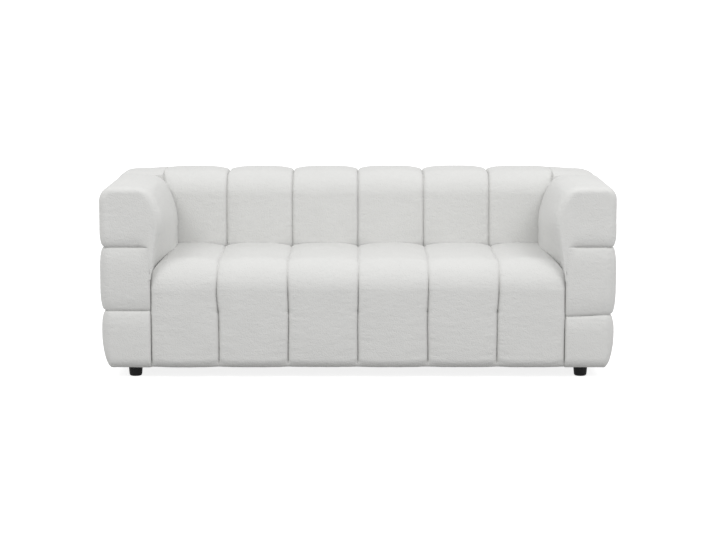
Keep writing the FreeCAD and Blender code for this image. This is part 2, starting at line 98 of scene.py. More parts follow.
def smooth(value, start, stop):
    """0 before start, 1 after stop, and 3t^2 - 2t^3 between them."""
    t = np.clip((value - start) / (stop - start), 0, 1)
    return t * t * (3 - 2 * t)


def noise(points, size, shift=0.0):
    """Soft lumps about size wide, from -1 to 1: table values mixed with smooth weights."""
    scaled = points / size + shift
    cell = np.floor(scaled).astype(int)
    t = scaled - cell
    t = t * t * (3 - 2 * t)
    total = np.zeros(points.shape[:-1])
    for corner in np.ndindex(2, 2, 2):
        weight = np.prod(np.where(np.array(corner), t, 1 - t), axis=-1)
        i, j, k = np.moveaxis((cell + corner) % TABLE_SIZE, -1, 0)
        total += weight * table[i, j, k]
    return total * 2 - 1


def rounding(depth, radius):
    """How far a quarter-round edge of that radius lies inside its corner, depth along it."""
    t = np.clip(1 - depth / radius, 0, 1)
    return radius * (1 - np.sqrt(1 - t * t))


def walked(points):
    """The distance walked along a line of points, from its first point to each of them."""
    return np.concatenate([[0], np.cumsum(np.linalg.norm(np.diff(points, axis=0), axis=1))])


def even_walk(points, count):
    """count places along a line of points, at even distances walked."""
    steps = walked(points)
    walk = np.linspace(0, steps[-1], count)
    return np.stack([np.interp(walk, steps, points[:, i]) for i in (0, 1)], -1)


print("noise table", table.shape, "mean", round(float(table.mean()), 4))

# %% [markdown]
# A mesh is built from rings: closed loops of points, each joined to the next by four-sided
# faces. The first and last rings are closed by one flat face each. Blender could skin such
# loops by itself, but as arrays the whole form stays one formula, and the order of its points
# is known. If a shell comes out inside out, its volume is negative and every face is turned
# round.

# %% From rings to a closed mesh
SPACING = 0.0034
SHARP = math.radians(62)


def ring_faces(rings, points):
    """Four-sided faces between rings of points, as rows of vertex numbers."""
    number = np.arange(rings * points).reshape(rings, points)
    ahead = np.roll(number, -1, axis=1)
    return np.stack([number[:-1], ahead[:-1], ahead[1:], number[1:]], -1).reshape(-1, 4)


def build(name, points, quads, caps):
    """A closed mesh object from points, four-sided faces and many-sided caps."""
    triangles = np.concatenate([quads[:, [0, 1, 2]], quads[:, [0, 2, 3]]])
    for cap in caps:
        fan = np.stack([np.full(len(cap) - 2, cap[0]), cap[1:-1], cap[2:]], -1)
        triangles = np.concatenate([triangles, fan])
    a, b, c = (points[triangles[:, i]] for i in range(3))
    if np.einsum("ij,ij->i", a, np.cross(b, c)).sum() < 0:
        quads = quads[:, ::-1]
        caps = [cap[::-1] for cap in caps]
    totals = np.concatenate([np.full(len(quads), 4), [len(cap) for cap in caps]]).astype(np.int32)
    corners = np.concatenate([quads.ravel()] + list(caps)).astype(np.int32)
    mesh = bpy.data.meshes.new(name)
    mesh.vertices.add(len(points))
    mesh.loops.add(len(corners))
    mesh.polygons.add(len(totals))
    mesh.vertices.foreach_set("co", points.astype(np.float32).ravel())
    mesh.loops.foreach_set("vertex_index", corners)
    starts = np.concatenate([[0], np.cumsum(totals)[:-1]]).astype(np.int32)
    mesh.polygons.foreach_set("loop_start", starts)
    mesh.update(calc_edges=True)
    mesh.validate()
    mesh.shade_smooth()
    mesh.set_sharp_from_angle(angle=SHARP)
    piece = bpy.data.objects.new(name, mesh)
    bpy.context.scene.collection.objects.link(piece)
    print(name, len(points), "points,", len(totals), "faces")
    return piece


def tube(name, rings):
    """A closed tube from rings (rings, points, 3), with a flat cap at each end."""
    count, points = rings.shape[:2]
    caps = [np.arange(points)[::-1], np.arange(points) + (count - 1) * points]
    return build(name, rings.reshape(-1, 3), ring_faces(count, points), caps)


# %% [markdown]
# Boucle is a cloth of looped yarn. Close up it is a field of nubs a little under a centimetre
# wide. A Displace modifier could raise them, but arrays do it on every piece in one line, so
# the surface itself is pushed out and in along its normals by soft noise in two sizes. A third,
# broad noise is the slack of the cloth. The finer loops are left to the material.

# %% Nubs of the cloth
NUB_SIZE, NUB_HEIGHT = 0.0070, 0.00042
NUB_STRETCH = np.array([0.34, 0.34, 1.0])
FINE_SIZE, FINE_SHARE, FINE_SHIFT = NUB_SIZE * 0.6, 0.5, 11.3
SLACK_SIZE, SLACK_HEIGHT, SLACK_SHIFT = 0.12, 0.0012, 5.7
JOINT_FADE = (0.0035, 0.012)


def add_nubs(piece):
    """Moves each point along its normal: nubs + finer nubs + slack, each a height times noise.

    On the arms the height falls to 0 beside the seat's end, where their pieces lap.
    """
    mesh = piece.data
    count = len(mesh.vertices)
    points = np.empty(count * 3, np.float32)
    normals = np.empty(count * 3, np.float32)
    mesh.vertices.foreach_get("co", points)
    mesh.vertex_normals.foreach_get("vector", normals)
    points = points.reshape(-1, 3).astype(float)
    fine = FINE_SHARE * noise(points, FINE_SIZE, FINE_SHIFT)
    height = NUB_HEIGHT * (noise(points * NUB_STRETCH, NUB_SIZE) + fine)
    height += SLACK_HEIGHT * noise(points, SLACK_SIZE, SLACK_SHIFT)
    if piece.name.startswith("arm"):
        height *= smooth(np.abs(np.abs(points[:, X]) - half_seat), *JOINT_FADE)
    points += normals.reshape(-1, 3) * height[:, None]
    mesh.vertices.foreach_set("co", points.astype(np.float32).ravel())
    mesh.update()


# %% [markdown]
# A padded strip is what an upholsterer sews: cloth over wadding, fixed to a base. It could be
# a bevelled curve, but a bevel has one section all along. Here the base runs along a path of
# lines and arcs, and across the path the padding has its own thickness at each point, greatest
# in the middle of a channel and least at a seam.

# %% Padded strips along a path
PAD = 0.045
BASE_LIFT = 0.001


def line(start, stop, out):
    """A straight run of a path: points at the outer spacing, all facing the same way."""
    start, stop = np.array(start), np.array(stop)
    count = max(2, round(float(np.linalg.norm(stop - start)) / SPACING))
    t = (np.arange(count) / count)[:, None]
    return start + (stop - start) * t, np.repeat(np.array([out], float), count, 0)


def arc(centre, radius, from_angle, to_angle, outer):
    """A turn of a path: centre plus radius times the direction, spaced along its outer radius."""
    turn = math.radians(to_angle - from_angle)
    count = max(4, round(abs(turn) * outer / SPACING))
    angle = math.radians(from_angle) + turn * np.arange(count) / count
    out = np.stack([np.cos(angle), np.sin(angle)], -1)
    return np.array(centre) + radius * out, out


def join_runs(runs, last, last_out):
    """One path from its runs, ended by its last point."""
    base = np.concatenate([run[0] for run in runs] + [np.array([last])])
    out = np.concatenate([run[1] for run in runs] + [np.array([last_out], float)])
    return base, out


def strip(base, out, across, thickness, base_across, place):
    """Rings of a strip: base + out * thickness over the across places, closed by its base."""
    outer = base[:, None] + out[:, None] * thickness[:, :, None]
    inner = np.repeat((base + out * BASE_LIFT)[:, None], len(base_across), 1)
    flat = np.concatenate([outer, inner], 1)
    widths = np.concatenate([across, base_across])
    return place(np.broadcast_to(widths, flat.shape[:2]), flat)


# %% Channels and seams across a strip
SEAM_SPACING = 0.0011
SEAM_REACH = 0.012
CREASE_WIDTH = 0.0037
CREASE_SHAPE = 1.3


def channel_places(seams, spacing=SPACING):
    """Places across a row of channels, closer together within SEAM_REACH of each seam."""
    places = []
    for start, stop in zip(seams, seams[1:]):
        steps = [0.0]
        while steps[-1] < (stop - start) / 2:
            wider = (spacing - SEAM_SPACING) * min(1, steps[-1] / SEAM_REACH)
            steps.append(steps[-1] + SEAM_SPACING + wider)
        half = np.array(steps[:-1]) * (stop - start) / 2 / steps[-1]
        places += [start + half, [(start + stop) / 2], (stop - half)[:0:-1]]
    return np.concatenate(places + [[seams[-1]]])


def crease(across, seams, depth, width=CREASE_WIDTH):
    """How deep a sewn seam pulls the cloth in: depth * exp(-(distance / width)^1.3)."""
    distance = np.abs(np.asarray(across)[..., None] - np.array(seams)).min(-1)
    return depth * np.exp(-((distance / width) ** CREASE_SHAPE))


print("padding", PAD, "m, crease", CREASE_WIDTH, "m wide")

# %% [markdown]
# How full each channel is could be a formula, but cloth that is held along its seams and blown
# up finds its own crown, so it comes from a cloth simulation. A flat sheet of the cover's size
# is held along its seams and blown from below for twenty frames, without gravity. Where it
# stands highest the padding has its full thickness. The sheet is longer than the cover at both
# ends, so that only the seams hold it.

# %% A sheet blown up between its seams
CELL = 0.0135
FRAMES = 20
AT_SEAM = 1e-4


def blown_sheet(name, rows, columns, seams):
    """Heights of a flat sheet of rows by columns, held at its seams and blown by pressure."""
    x, y = np.meshgrid(columns, rows)
    points = np.stack([x, y, np.zeros_like(x)], -1).reshape(-1, 3)
    number = np.arange(len(points)).reshape(x.shape)
    faces = np.stack([number[:-1, :-1], number[:-1, 1:], number[1:, 1:], number[1:, :-1]], -1)
    mesh = bpy.data.meshes.new(name)
    mesh.from_pydata(points.tolist(), [], faces.reshape(-1, 4).tolist())
    sheet = bpy.data.objects.new(name, mesh)
    bpy.context.scene.collection.objects.link(sheet)
    held = np.abs(columns[:, None] - np.array(seams)[None]).min(1) < AT_SEAM
    sheet.vertex_groups.new(name="held").add(number[:, held].ravel().tolist(), 1.0, "REPLACE")
    cloth = sheet.modifiers.new("cloth", "CLOTH")
    cloth.settings.vertex_group_mass = "held"
    cloth.settings.quality = 6
    cloth.settings.mass = 0.3
    cloth.settings.bending_stiffness = 0.4
    cloth.settings.shrink_min = -0.02
    cloth.settings.use_pressure = True
    cloth.settings.uniform_pressure_force = 4
    cloth.settings.effector_weights.gravity = 0
    cloth.point_cache.frame_start = 1
    cloth.point_cache.frame_end = FRAMES
    for moment in range(1, FRAMES + 1):
        bpy.context.scene.frame_set(moment)
    shaped = sheet.evaluated_get(bpy.context.evaluated_depsgraph_get()).to_mesh()
    places = np.empty(len(points) * 3, np.float32)
    shaped.vertices.foreach_get("co", places)
    bpy.data.objects.remove(sheet)
    bpy.data.meshes.remove(mesh)
    bpy.context.scene.frame_set(1)
    return places.reshape(*x.shape, 3)[..., 2].astype(float)


# %% From the sheet to the fullness of a cover
SPARE = 0.08
CALM_ROWS = 4
TENSION_LEFT = 0.16
FULLEST = 1.12


def resampled(grid, rows, columns, along, across):
    """The grid's values at other places: a Catmull-Rom curve through its rows, then columns."""
    for axis, (known, wanted) in enumerate(((rows, along), (columns, across))):
        place = np.interp(wanted, known, np.arange(len(known)))
        first = np.clip(np.floor(place).astype(int), 0, len(known) - 2)
        t = place - first
        shares = 0.5 * np.stack([
            2 * t**2 - t - t**3, 2 - 5 * t**2 + 3 * t**3, t + 4 * t**2 - 3 * t**3, t**3 - t**2])
        total = 0
        for k in range(4):
            share = shares[k][:, None] if axis == 0 else shares[k][None]
            taken = np.clip(first + k - 1, 0, len(known) - 1)
            total = total + share * np.take(grid, taken, axis=axis)
        grid = total
    return grid


def fullness(name, base, out, across, seams, power):
    """How full a cover is along its path and across it: 0 at each seam, about 1 in mid channel.

    The sheet's height is averaged over 2 * CALM_ROWS + 1 rows. TENSION_LEFT of the wrinkles
    that this takes away is put back, and the height in mid channel is taken for 1.
    """
    along = walked(base + out * PAD)
    length = along[-1]
    rows = np.linspace(-SPARE, length + SPARE, round((length + 2 * SPARE) / CELL))
    spans = list(zip(seams, seams[1:]))
    columns = [np.linspace(a, b, round((b - a) / CELL) + 1)[:-1] for a, b in spans]
    columns = np.concatenate(columns + [[seams[-1]]])
    height = blown_sheet(name + "_sheet", rows, columns, seams)
    middles = [np.abs(columns - (a + b) / 2).argmin() for a, b in spans]
    peak = float(np.median(height[2 * CALM_ROWS : -2 * CALM_ROWS, middles]))
    longer = np.pad(height, ((CALM_ROWS, CALM_ROWS), (0, 0)), mode="edge")
    window = 2 * CALM_ROWS + 1
    calm = sum(longer[k : k + len(height)] for k in range(window)) / window
    height = calm + TENSION_LEFT * (height - calm)
    print(name, "sheet", height.shape, "rose", round(1000 * peak, 1), "mm")
    share = np.clip(resampled(height, rows, columns, along, across) / peak, 0, FULLEST)
    return 1 - np.abs(1 - share) ** (power / 2)


# %% [markdown]
# The seat is one piece of cloth with five seams. It starts behind the back, comes forward
# over the foam, turns round the nose and ends in a small round hem above the floor. At both
# ends its upper edge is rounded off where it rolls under the arms. Six cushions side by side
# would be simpler, but the real cover is one sheet, so it is one strip here, and only its
# thickness changes at the seams.

# %% Seams of the seat
PITCH = 0.27
END_ROUND = 0.08
END_STEPS = 34
seams = [-half_seat, -2 * PITCH, -PITCH, 0.0, PITCH, 2 * PITCH, half_seat]
print("seams at", [round(seam, 4) for seam in seams])


def end_height(x):
    """Height of the seat's rounded ends: a quarter circle of END_ROUND at the upper edge."""
    reach = np.clip(np.abs(x) - (half_seat - END_ROUND), 0, END_ROUND)
    return seat_top - END_ROUND + np.sqrt(END_ROUND**2 - reach**2)


def seat_across():
    """Places along the seat: channel places, and beyond the flat part even steps of angle."""
    inner = channel_places(seams)
    flat = half_seat - END_ROUND
    inner = inner[np.abs(inner) < flat - SPACING]
    angle = np.linspace(0, math.pi / 2, END_STEPS)
    end = flat + END_ROUND * np.sin(angle)
    return np.concatenate([-end[::-1], inner, end])


# %% [markdown]
# On the real sofa no seam is quite straight. A noise moves the seams sideways by a few
# millimetres. Half way up the front each seam is caught by a small tuck, and above it the
# seams lean outwards a little. Moving the points is enough for that, and no cloth is cut.

# %% Seams that wander
TUCK_HEIGHT = 0.261
TUCK_SIZE = 0.010
WANDER, WANDER_SIZE, WANDER_STRETCH, WANDER_SHIFT = 0.0022, 0.11, 0.6, 3.1
LEAN = 0.006
LEAN_START, LEAN_STOP = TUCK_HEIGHT - 0.03, TUCK_HEIGHT + 0.08
STRAIGHT_ENDS = (0.62, 0.70)


def wandering(x, y, z):
    """x + WANDER * noise + a lean that grows with x and height. At the ends x stays."""
    places = np.stack([x * WANDER_STRETCH, y, z], -1)
    shift = WANDER * noise(places, WANDER_SIZE, WANDER_SHIFT)
    shift += LEAN * (x / (2 * PITCH)) * smooth(z, LEAN_START, LEAN_STOP)
    return x + shift * (1 - smooth(np.abs(x), *STRAIGHT_ENDS))


# %% Path of the seat
NOSE = 0.120
HEM = 0.036
HEM_THIN = 0.005
HEM_TURN = 264


def seat_path():
    """The base line from the rear over the nose to the hem, and the number of hem points."""
    base_z = seat_top - PAD
    base_y = front + PAD
    nose_y, nose_z = front + NOSE, seat_top - NOSE
    hem_y, hem_z = front + HEM, hem + HEM
    small = HEM - PAD + HEM_THIN
    runs = [
        line((seat_rear, base_z), (nose_y, base_z), (0, 1)),
        arc((nose_y, nose_z), NOSE - PAD, 90, 180, NOSE),
        line((base_y, nose_z), (base_y, hem_z), (-1, 0)),
        arc((hem_y, hem_z), small, 180, HEM_TURN, HEM),
    ]
    base, out = join_runs(runs, (hem_y, hem_z - small), (0, -1))
    return base, out, len(runs[-1][0]) + 1


print("the seat's base line is", round(float(walked(seat_path()[0])[-1]), 3), "m long")

# %% Seat cover
SEAM_PAD = 0.032
CROWN_POWER = 3.6
SEAM_CREASE = 0.013
TOP_CREASE_SHARE = 0.35
TUCK_CREASE = (0.006, 0.009)
PULL_BELOW, PULL_ABOVE = 0.075, 0.02
HEM_FULL = 0.85
HEM_FADE_START, HEM_FADE_STOP = 0.3, 0.9
FACING = 0.99
BASE_INSET = 0.013
BASE_PLACES = 9


def seat_rings():
    """The seat as rings along its path. Thickness: PAD less crown, seams, tucks and hem."""
    base, out, hem_count = seat_path()
    across = seat_across()
    in_hem = np.clip(np.arange(len(base)) - (len(base) - hem_count - 1), 0, None)[:, None]
    full = fullness("seat", base, out, across, seams, CROWN_POWER)
    flattened = (PAD - SEAM_PAD) * (1 - full)
    fade_start = HEM_FADE_START * hem_count
    flattened = flattened * (1 - HEM_FULL * smooth(in_hem, fade_start, hem_count))
    nose_z = seat_top - NOSE
    pull = smooth(-base[:, 1:], -nose_z - PULL_BELOW, -nose_z + PULL_ABOVE)
    pull = TOP_CREASE_SHARE + (1 - TOP_CREASE_SHARE) * pull
    pull = pull * (1 - smooth(in_hem, fade_start, HEM_FADE_STOP * hem_count))
    sewn = crease(across, seams, SEAM_CREASE)[None] * pull
    tuck = np.exp(-(((base[:, 1] - TUCK_HEIGHT) / TUCK_SIZE) ** 2)) * (out[:, 0] < -FACING)
    sewn = sewn + tuck[:, None] * crease(across, seams[1:-1], *TUCK_CREASE)[None]
    thick = PAD - flattened - sewn - np.where(in_hem > 0, HEM_THIN, 0)
    base_across = np.linspace(half_seat - BASE_INSET, -half_seat + BASE_INSET, BASE_PLACES)

    def place(x, flat):
        z = np.minimum(flat[..., 1], end_height(x))
        return np.stack([wandering(x, flat[..., 0], z), flat[..., 0], z], -1)

    return strip(base, out, across, thick, base_across, place)


seat_piece = tube("seat_channels", seat_rings())

# %% [markdown]
# The back cover is made the same way, because it is sewn the same way. It comes up from
# behind the seat, rolls over the top and ends at the upper rear edge, where the plain outside
# back begins. At that edge its padding turns from upwards to backwards.

# %% Path of the back
BACK_ROUND = 0.1
BACK_REAR_ROUND = 0.04


def back_path():
    """The base line up the front and over the top, and the number of points in the last turn."""
    roll_y, roll_z = back_face + BACK_ROUND, back_top - BACK_ROUND
    end_y, end_z = rear - BACK_REAR_ROUND, back_top - BACK_REAR_ROUND
    runs = [
        line((back_face + PAD, back_foot), (back_face + PAD, roll_z), (-1, 0)),
        arc((roll_y, roll_z), BACK_ROUND - PAD, 180, 90, BACK_ROUND),
        line((roll_y, back_top - PAD), (end_y, back_top - PAD), (0, 1)),
    ]
    turn = arc((end_y, end_z), 0.0, 90, 0, BACK_REAR_ROUND)[1]
    low_z = np.linspace(back_top - PAD, end_z, len(turn))
    runs.append((np.stack([np.full(len(turn), end_y), low_z], -1), turn))
    return *join_runs(runs, (end_y, end_z), (1, 0)), len(turn)


print("the back's base line is", round(float(walked(back_path()[0])[-1]), 3), "m long")

# %% Back cover
BACK_CREASE = 0.009
BACK_END_FULL = 0.6
BACK_NOISE = 1.0


def back_rings():
    """The back as rings. Its seams wander by noise taken a metre away, and don't lean."""
    base, out, turn_count = back_path()
    across = channel_places(seams)
    full = fullness("back", base, out, across, seams, CROWN_POWER)
    flattened = (PAD - SEAM_PAD) * (1 - full)
    at_end = smooth(np.abs(across), half_seat - PITCH / 2, half_seat - PITCH / 4)
    flattened = flattened * (1 - BACK_END_FULL * at_end)
    thick = PAD - flattened - crease(across, seams[1:-1], BACK_CREASE)[None]
    turning = smooth(np.arange(len(base)), len(base) - turn_count - 1, len(base))[:, None]
    thick = thick - (PAD - BACK_REAR_ROUND) * turning
    base_across = np.linspace(half_seat, -half_seat, BASE_PLACES)

    def place(x, flat):
        y, z = flat[..., 0], flat[..., 1]
        return np.stack([wandering(x, y + BACK_NOISE, z - BACK_NOISE), y, z], -1)

    return strip(base, out, across, thick, base_across, place)


back_piece = tube("back_channels", back_rings())

# %% [markdown]
# Each arm wears three tiers. The two lower ones are strips again, that start beside the seat,
# go over the front, along the outer side and round the rear. Their path lies flat, and the
# padding's thickness now changes with height. Bent boxes would need a separate corner, while
# a strip turns it in one go. Under the lower tier the cloth turns in to the frame, with a
# longer round on the outer side than in front.

# %% Path of the lower tiers
TIER_CORNER = 0.047


def tier_path():
    """The plan path of a right tier, as (x, y) places and outward directions."""
    x_base, y_front, y_rear = half_width - PAD, front + PAD, rear - PAD
    small = TIER_CORNER - PAD
    x_turn = x_base - small
    runs = [
        line((half_seat, y_front), (x_turn, y_front), (0, -1)),
        arc((x_turn, y_front + small), small, -90, 0, TIER_CORNER),
        line((x_base, y_front + small), (x_base, y_rear - small), (1, 0)),
        arc((x_turn, y_rear - small), small, 0, 90, TIER_CORNER),
        line((x_turn, y_rear), (half_seat, y_rear), (0, 1)),
    ]
    return join_runs(runs, (half_seat, y_rear), (0, 1))


def lying(z, flat):
    """Points of a strip whose path lies flat: x and y from the path, z across it."""
    return np.stack([flat[..., 0], flat[..., 1], z], -1)


print("a tier's base line is", round(float(walked(tier_path()[0])[-1]), 3), "m long")

# %% Padding of the lower tiers
TIER_EDGE = 0.033
TIER_POWER = 4.0
TIER_CREASE = 0.006
FADE = 0.05
SIDE_ROUND = (0.036, 0.15)
FRONT_ROUND = (0.030, 0.040)
LOWER_TUCK = 0.005
TURN_STEPS = 30
EDGE_ROUND = 0.012
JOINED_BELOW, JOINED_ABOVE = 0.012, 0.006
THINNEST = 0.004
TIER_BASE_PLACES = 5


def seam_fade(x):
    """1 along a seam, falling to 0 near the inner front edge, where the cloth runs through."""
    return smooth(np.abs(x), half_seat, half_seat + FADE)


def tier_rings(z0, z1, has_hem):
    """Rings of a right tier from z0 to z1, with a round lower edge if it has the hem.

    Thickness: PAD less the groove of each seam, the turn under the frame, and the round of the
    tier's two ends. The front end isn't rounded where the top tier's foot joins it.
    """
    base, out = tier_path()
    outer_side = smooth(out[:, 0], 0.0, 1.0)[:, None]
    heights = channel_places([z0, z1])
    if has_hem:
        turn = SIDE_ROUND[1] * (1 - np.cos(np.linspace(0, math.pi / 2, TURN_STEPS)))
        heights = np.concatenate([z0 + turn, heights[heights > z0 + SIDE_ROUND[1]]])
    full = fullness("tier", base, out, heights, [z0, z1], TIER_POWER)
    groove = (PAD - TIER_EDGE) * (1 - full) + crease(heights, [z0, z1], TIER_CREASE)[None]
    upper = heights[None] > (z0 + z1) / 2
    if has_hem:
        amount = np.where(upper, 1.0, 0.0)
        inset, height = (
            FRONT_ROUND[i] + (SIDE_ROUND[i] - FRONT_ROUND[i]) * outer_side for i in (0, 1))
        depth = np.clip((heights[None] - z0) / height, 0, 1)
        turn_in = inset * (1 - np.sqrt(1 - (1 - depth) ** 2))
        tuck = LOWER_TUCK * outer_side
    else:
        fade = np.where(base[:, 1] < 0, seam_fade(base[:, 0]), 1.0)
        amount = np.where(upper, fade[:, None], 1.0)
        turn_in = tuck = 0.0
    thick = PAD - groove * amount - turn_in - tuck
    foot_z = seat_top - END_ROUND
    joined = smooth(heights, foot_z - JOINED_BELOW, foot_z + JOINED_ABOVE)[None]
    joined = joined * (base[:, 1:] < 0)
    end_round = rounding(np.abs(base[:, 0] - half_seat), EDGE_ROUND)[:, None]
    thick = thick - np.where(np.abs(out[:, 1:]) > FACING, end_round, 0) * (1 - joined)
    inside = np.linspace(z1, z0, TIER_BASE_PLACES)
    return strip(base, out, heights, np.maximum(thick, THINNEST), inside, lying)


# %% [markdown]
# The left arm is the right one mirrored. On the photographed sofa the right arm's lower seam
# hangs a little, so the right tiers are moved down beside that seam, both by the same amount.

# %% Two arms
SAG = 0.022
SAG_OUTER_LOSS = 0.3
SAG_START, SAG_STOP = hem + 0.05, upper_seam - 0.06
SAG_FULL, SAG_GONE = front + 0.1, front + 0.4


def sagged(rings):
    """The right arm's tiers, whose lower seam hangs lower in front, most at its inner end."""
    x, y, z = np.moveaxis(rings, -1, 0)
    share = smooth(z, SAG_START, lower_seam) * (1 - smooth(z, lower_seam, SAG_STOP))
    depth = SAG * (1 - SAG_OUTER_LOSS * smooth(x, half_seat, half_width))
    depth = depth * (1 - smooth(y, SAG_FULL, SAG_GONE))
    return np.stack([x, y, z - depth * share], -1)


def mirror(rings):
    """The same rings on the left side."""
    return rings * np.array([-1.0, 1.0, 1.0])


SIDES = {"right": sagged, "left": mirror}
tiers = {"lower": (hem, lower_seam, True), "middle": (lower_seam, upper_seam, False)}
tier_pieces = {}
for tier, (z0, z1, has_hem) in tiers.items():
    rings = tier_rings(z0, z1, has_hem)
    for side, turn in SIDES.items():
        tier_pieces[tier, side] = tube("arm_%s_tier_%s" % (tier, side), turn(rings))

# %% [markdown]
# The top tier of an arm is a closed block, and so is the end of the back behind it. A bevelled
# box could stand for either, but its sides would be flat. Here each ring is a rounded rectangle
# seen from above, and each of its four sides follows its own profile upwards: the inner side
# bellies out over the seat and leans back, the outer side is upright and then turns over. The
# last ring is filled by a patch that blends its four sides.

# %% Profiles of a block's sides
CORNER_CUTS = 3
ROUND_STEPS = 24


def profile(points, count):
    """An even walk along a line of (place, height) points, after its corners are cut."""
    points = np.array(points, float)
    for _ in range(CORNER_CUTS):
        start, stop = points[:-1], points[1:]
        cuts = np.stack([start * 0.75 + stop * 0.25, start * 0.25 + stop * 0.75], 1)
        points = np.concatenate([points[:1], cuts.reshape(-1, 2)[1:-1], points[-1:]])
    return even_walk(points, count)


def rounded_top(radius, rise, top, start, count):
    """Profile of an upright side up to a quarter ellipse, radius in and rise high, at the top."""
    angle = np.linspace(0, math.pi / 2, ROUND_STEPS)
    turn = np.stack([radius * (1 - np.cos(angle)), top - rise + rise * np.sin(angle)], -1)
    return even_walk(np.concatenate([[[0, start]], turn]), count)


# %% Rings of a block
SHARED = 1.6


def block_side(start, stop, inward, radii, heights, count):
    """One side of every ring, from start to stop, with half of each corner's round.

    start and stop are the sharp corners and radii the rounds there. heights are those of the
    neighbour before, of this side and of the neighbour after, and near a corner, within SHARED
    times its round, two neighbours share their heights.
    """
    t = np.arange(count)[None] / count
    run = stop - start
    length = np.linalg.norm(run, axis=-1, keepdims=True)
    ahead = run / length
    along = t * length
    back = length - along
    before, after = (np.broadcast_to(np.asarray(r, float), (len(start),))[:, None] for r in radii)
    quarter = math.pi / 4
    turn0 = quarter * (1 - np.clip(along / before, 0, 1))
    turn1 = quarter * (1 - np.clip(back / after, 0, 1))
    place = np.where(along < before, before * (1 - np.sin(turn0)), along)
    place = np.where(back < after, length - after * (1 - np.sin(turn1)), place)
    inset = before * (1 - np.cos(turn0)) + after * (1 - np.cos(turn1))
    plan = start[:, None] + ahead[:, None] * place[..., None]
    plan = plan + inward[None, None] * inset[..., None]
    share0 = 0.5 * (1 - smooth(along, 0, SHARED * before))
    share1 = 0.5 * (1 - smooth(back, 0, SHARED * after))
    previous, own, following = (h[:, None] for h in heights)
    z = own * (1 - share0 - share1) + previous * share0 + following * share1
    sideways = (np.sin(turn1) - np.sin(turn0))[..., None]
    out = -inward[None, None] * np.cos(turn0 + turn1)[..., None] + ahead[:, None] * sideways
    return np.concatenate([plan, z[..., None]], -1), out


def block_rings(inner, front_side, outer, rear_side, radii, counts):
    """Rings of a block. Each side is an (inset or place, height) profile, one row per ring."""
    corners = [
        np.stack([inner[:, 0], rear_side[:, 0]], -1),
        np.stack([inner[:, 0], front_side[:, 0]], -1),
        np.stack([outer[:, 0], front_side[:, 0]], -1),
        np.stack([outer[:, 0], rear_side[:, 0]], -1),
    ]
    heights = [inner[:, 1], front_side[:, 1], outer[:, 1], rear_side[:, 1]]
    inwards = np.array([[1.0, 0], [0, 1], [-1, 0], [0, -1]])
    parts = []
    for i in range(4):
        parts.append(block_side(
            corners[i], corners[(i + 1) % 4], inwards[i], (radii[i], radii[(i + 1) % 4]),
            (heights[i - 1], heights[i], heights[(i + 1) % 4]), counts[i % 2]))
    return [np.concatenate([part[k] for part in parts], 1) for k in (0, 1)]


# %% [markdown]
# The top of a block could be one many-sided face, but it would shade badly and take no nubs.
# The patch is a grid between the last ring's four sides, and a slight dome makes it full.

# %% A closed block
def lid(ring, counts):
    """A patch that fills a ring: the blend of its four sides, less the blend of its corners."""
    long, wide = counts
    closed = np.concatenate([ring, ring[:1]])
    a = closed[: long + 1]
    b = closed[long : long + wide + 1]
    c = closed[long + wide : 2 * long + wide + 1][::-1]
    d = closed[2 * long + wide :][::-1]
    s = np.linspace(0, 1, long + 1)[:, None, None]
    t = np.linspace(0, 1, wide + 1)[None, :, None]
    patch = (1 - t) * a[:, None] + t * c[:, None] + (1 - s) * d[None] + s * b[None]
    patch -= (1 - s) * (1 - t) * a[0] + (1 - s) * t * c[0] + s * (1 - t) * a[-1] + s * t * c[-1]
    return patch


def block(name, rings, counts, dome):
    """A closed block: its rings, a flat cap below and a slightly domed lid on top."""
    long, wide = counts
    count, points = rings.shape[:2]
    patch = lid(rings[-1], counts)
    s = np.linspace(-1, 1, long + 1)[:, None]
    t = np.linspace(-1, 1, wide + 1)[None]
    patch[..., 2] += dome * (1 - s**4) * (1 - t**4)
    first = (count - 1) * points
    number = np.empty((long + 1, wide + 1), int)
    loop = first + np.arange(points + 1)
    loop[-1] = first
    number[:, 0] = loop[: long + 1]
    number[-1, :] = loop[long : long + wide + 1]
    number[:, -1] = loop[long + wide : 2 * long + wide + 1][::-1]
    number[0, :] = loop[2 * long + wide :][::-1]
    inside = (long - 1) * (wide - 1)
    number[1:-1, 1:-1] = count * points + np.arange(inside).reshape(long - 1, wide - 1)
    lid_faces = np.stack([number[:-1, :-1], number[:-1, 1:], number[1:, 1:], number[1:, :-1]], -1)
    quads = ring_faces(count, points)
    all_points = np.concatenate([rings.reshape(-1, 3), patch[1:-1, 1:-1].reshape(-1, 3)])
    return build(name, all_points, np.concatenate([quads, lid_faces.reshape(-1, 4)[:, ::-1]]),
                 [np.arange(points)[::-1]])


# %% [markdown]
# Both kinds of block rest on the upper seam. Up to a height that they share they are drawn in
# by its groove, and above it their edges turn over, each with a round of its own. What they
# share is written once here, and each block then says only what is its own.

# %% Upright sides and the groove of the upper seam
CROWN_START = 0.60
GROOVE_POWER = 4


def crown_heights():
    """Heights of rings from the upper seam to CROWN_START, closer together at the seam."""
    z = channel_places([upper_seam, 2 * CROWN_START - upper_seam])
    return z[z < CROWN_START]


def upright_sides(z, count, rounds):
    """Sides upright at the heights z, then rounded over, one for each of the rounds.

    A round is how far the edge turns in, how far it rises, where the side stands, and 1 or -1
    for the way in.
    """
    sides = []
    for radius, rise, place, sign in rounds:
        turn = rounded_top(radius, rise, arm_top, CROWN_START, count)
        turn[:, 0] = place + sign * turn[:, 0]
        sides.append(np.concatenate([np.stack([np.full(len(z), place), z], -1), turn]))
    return sides


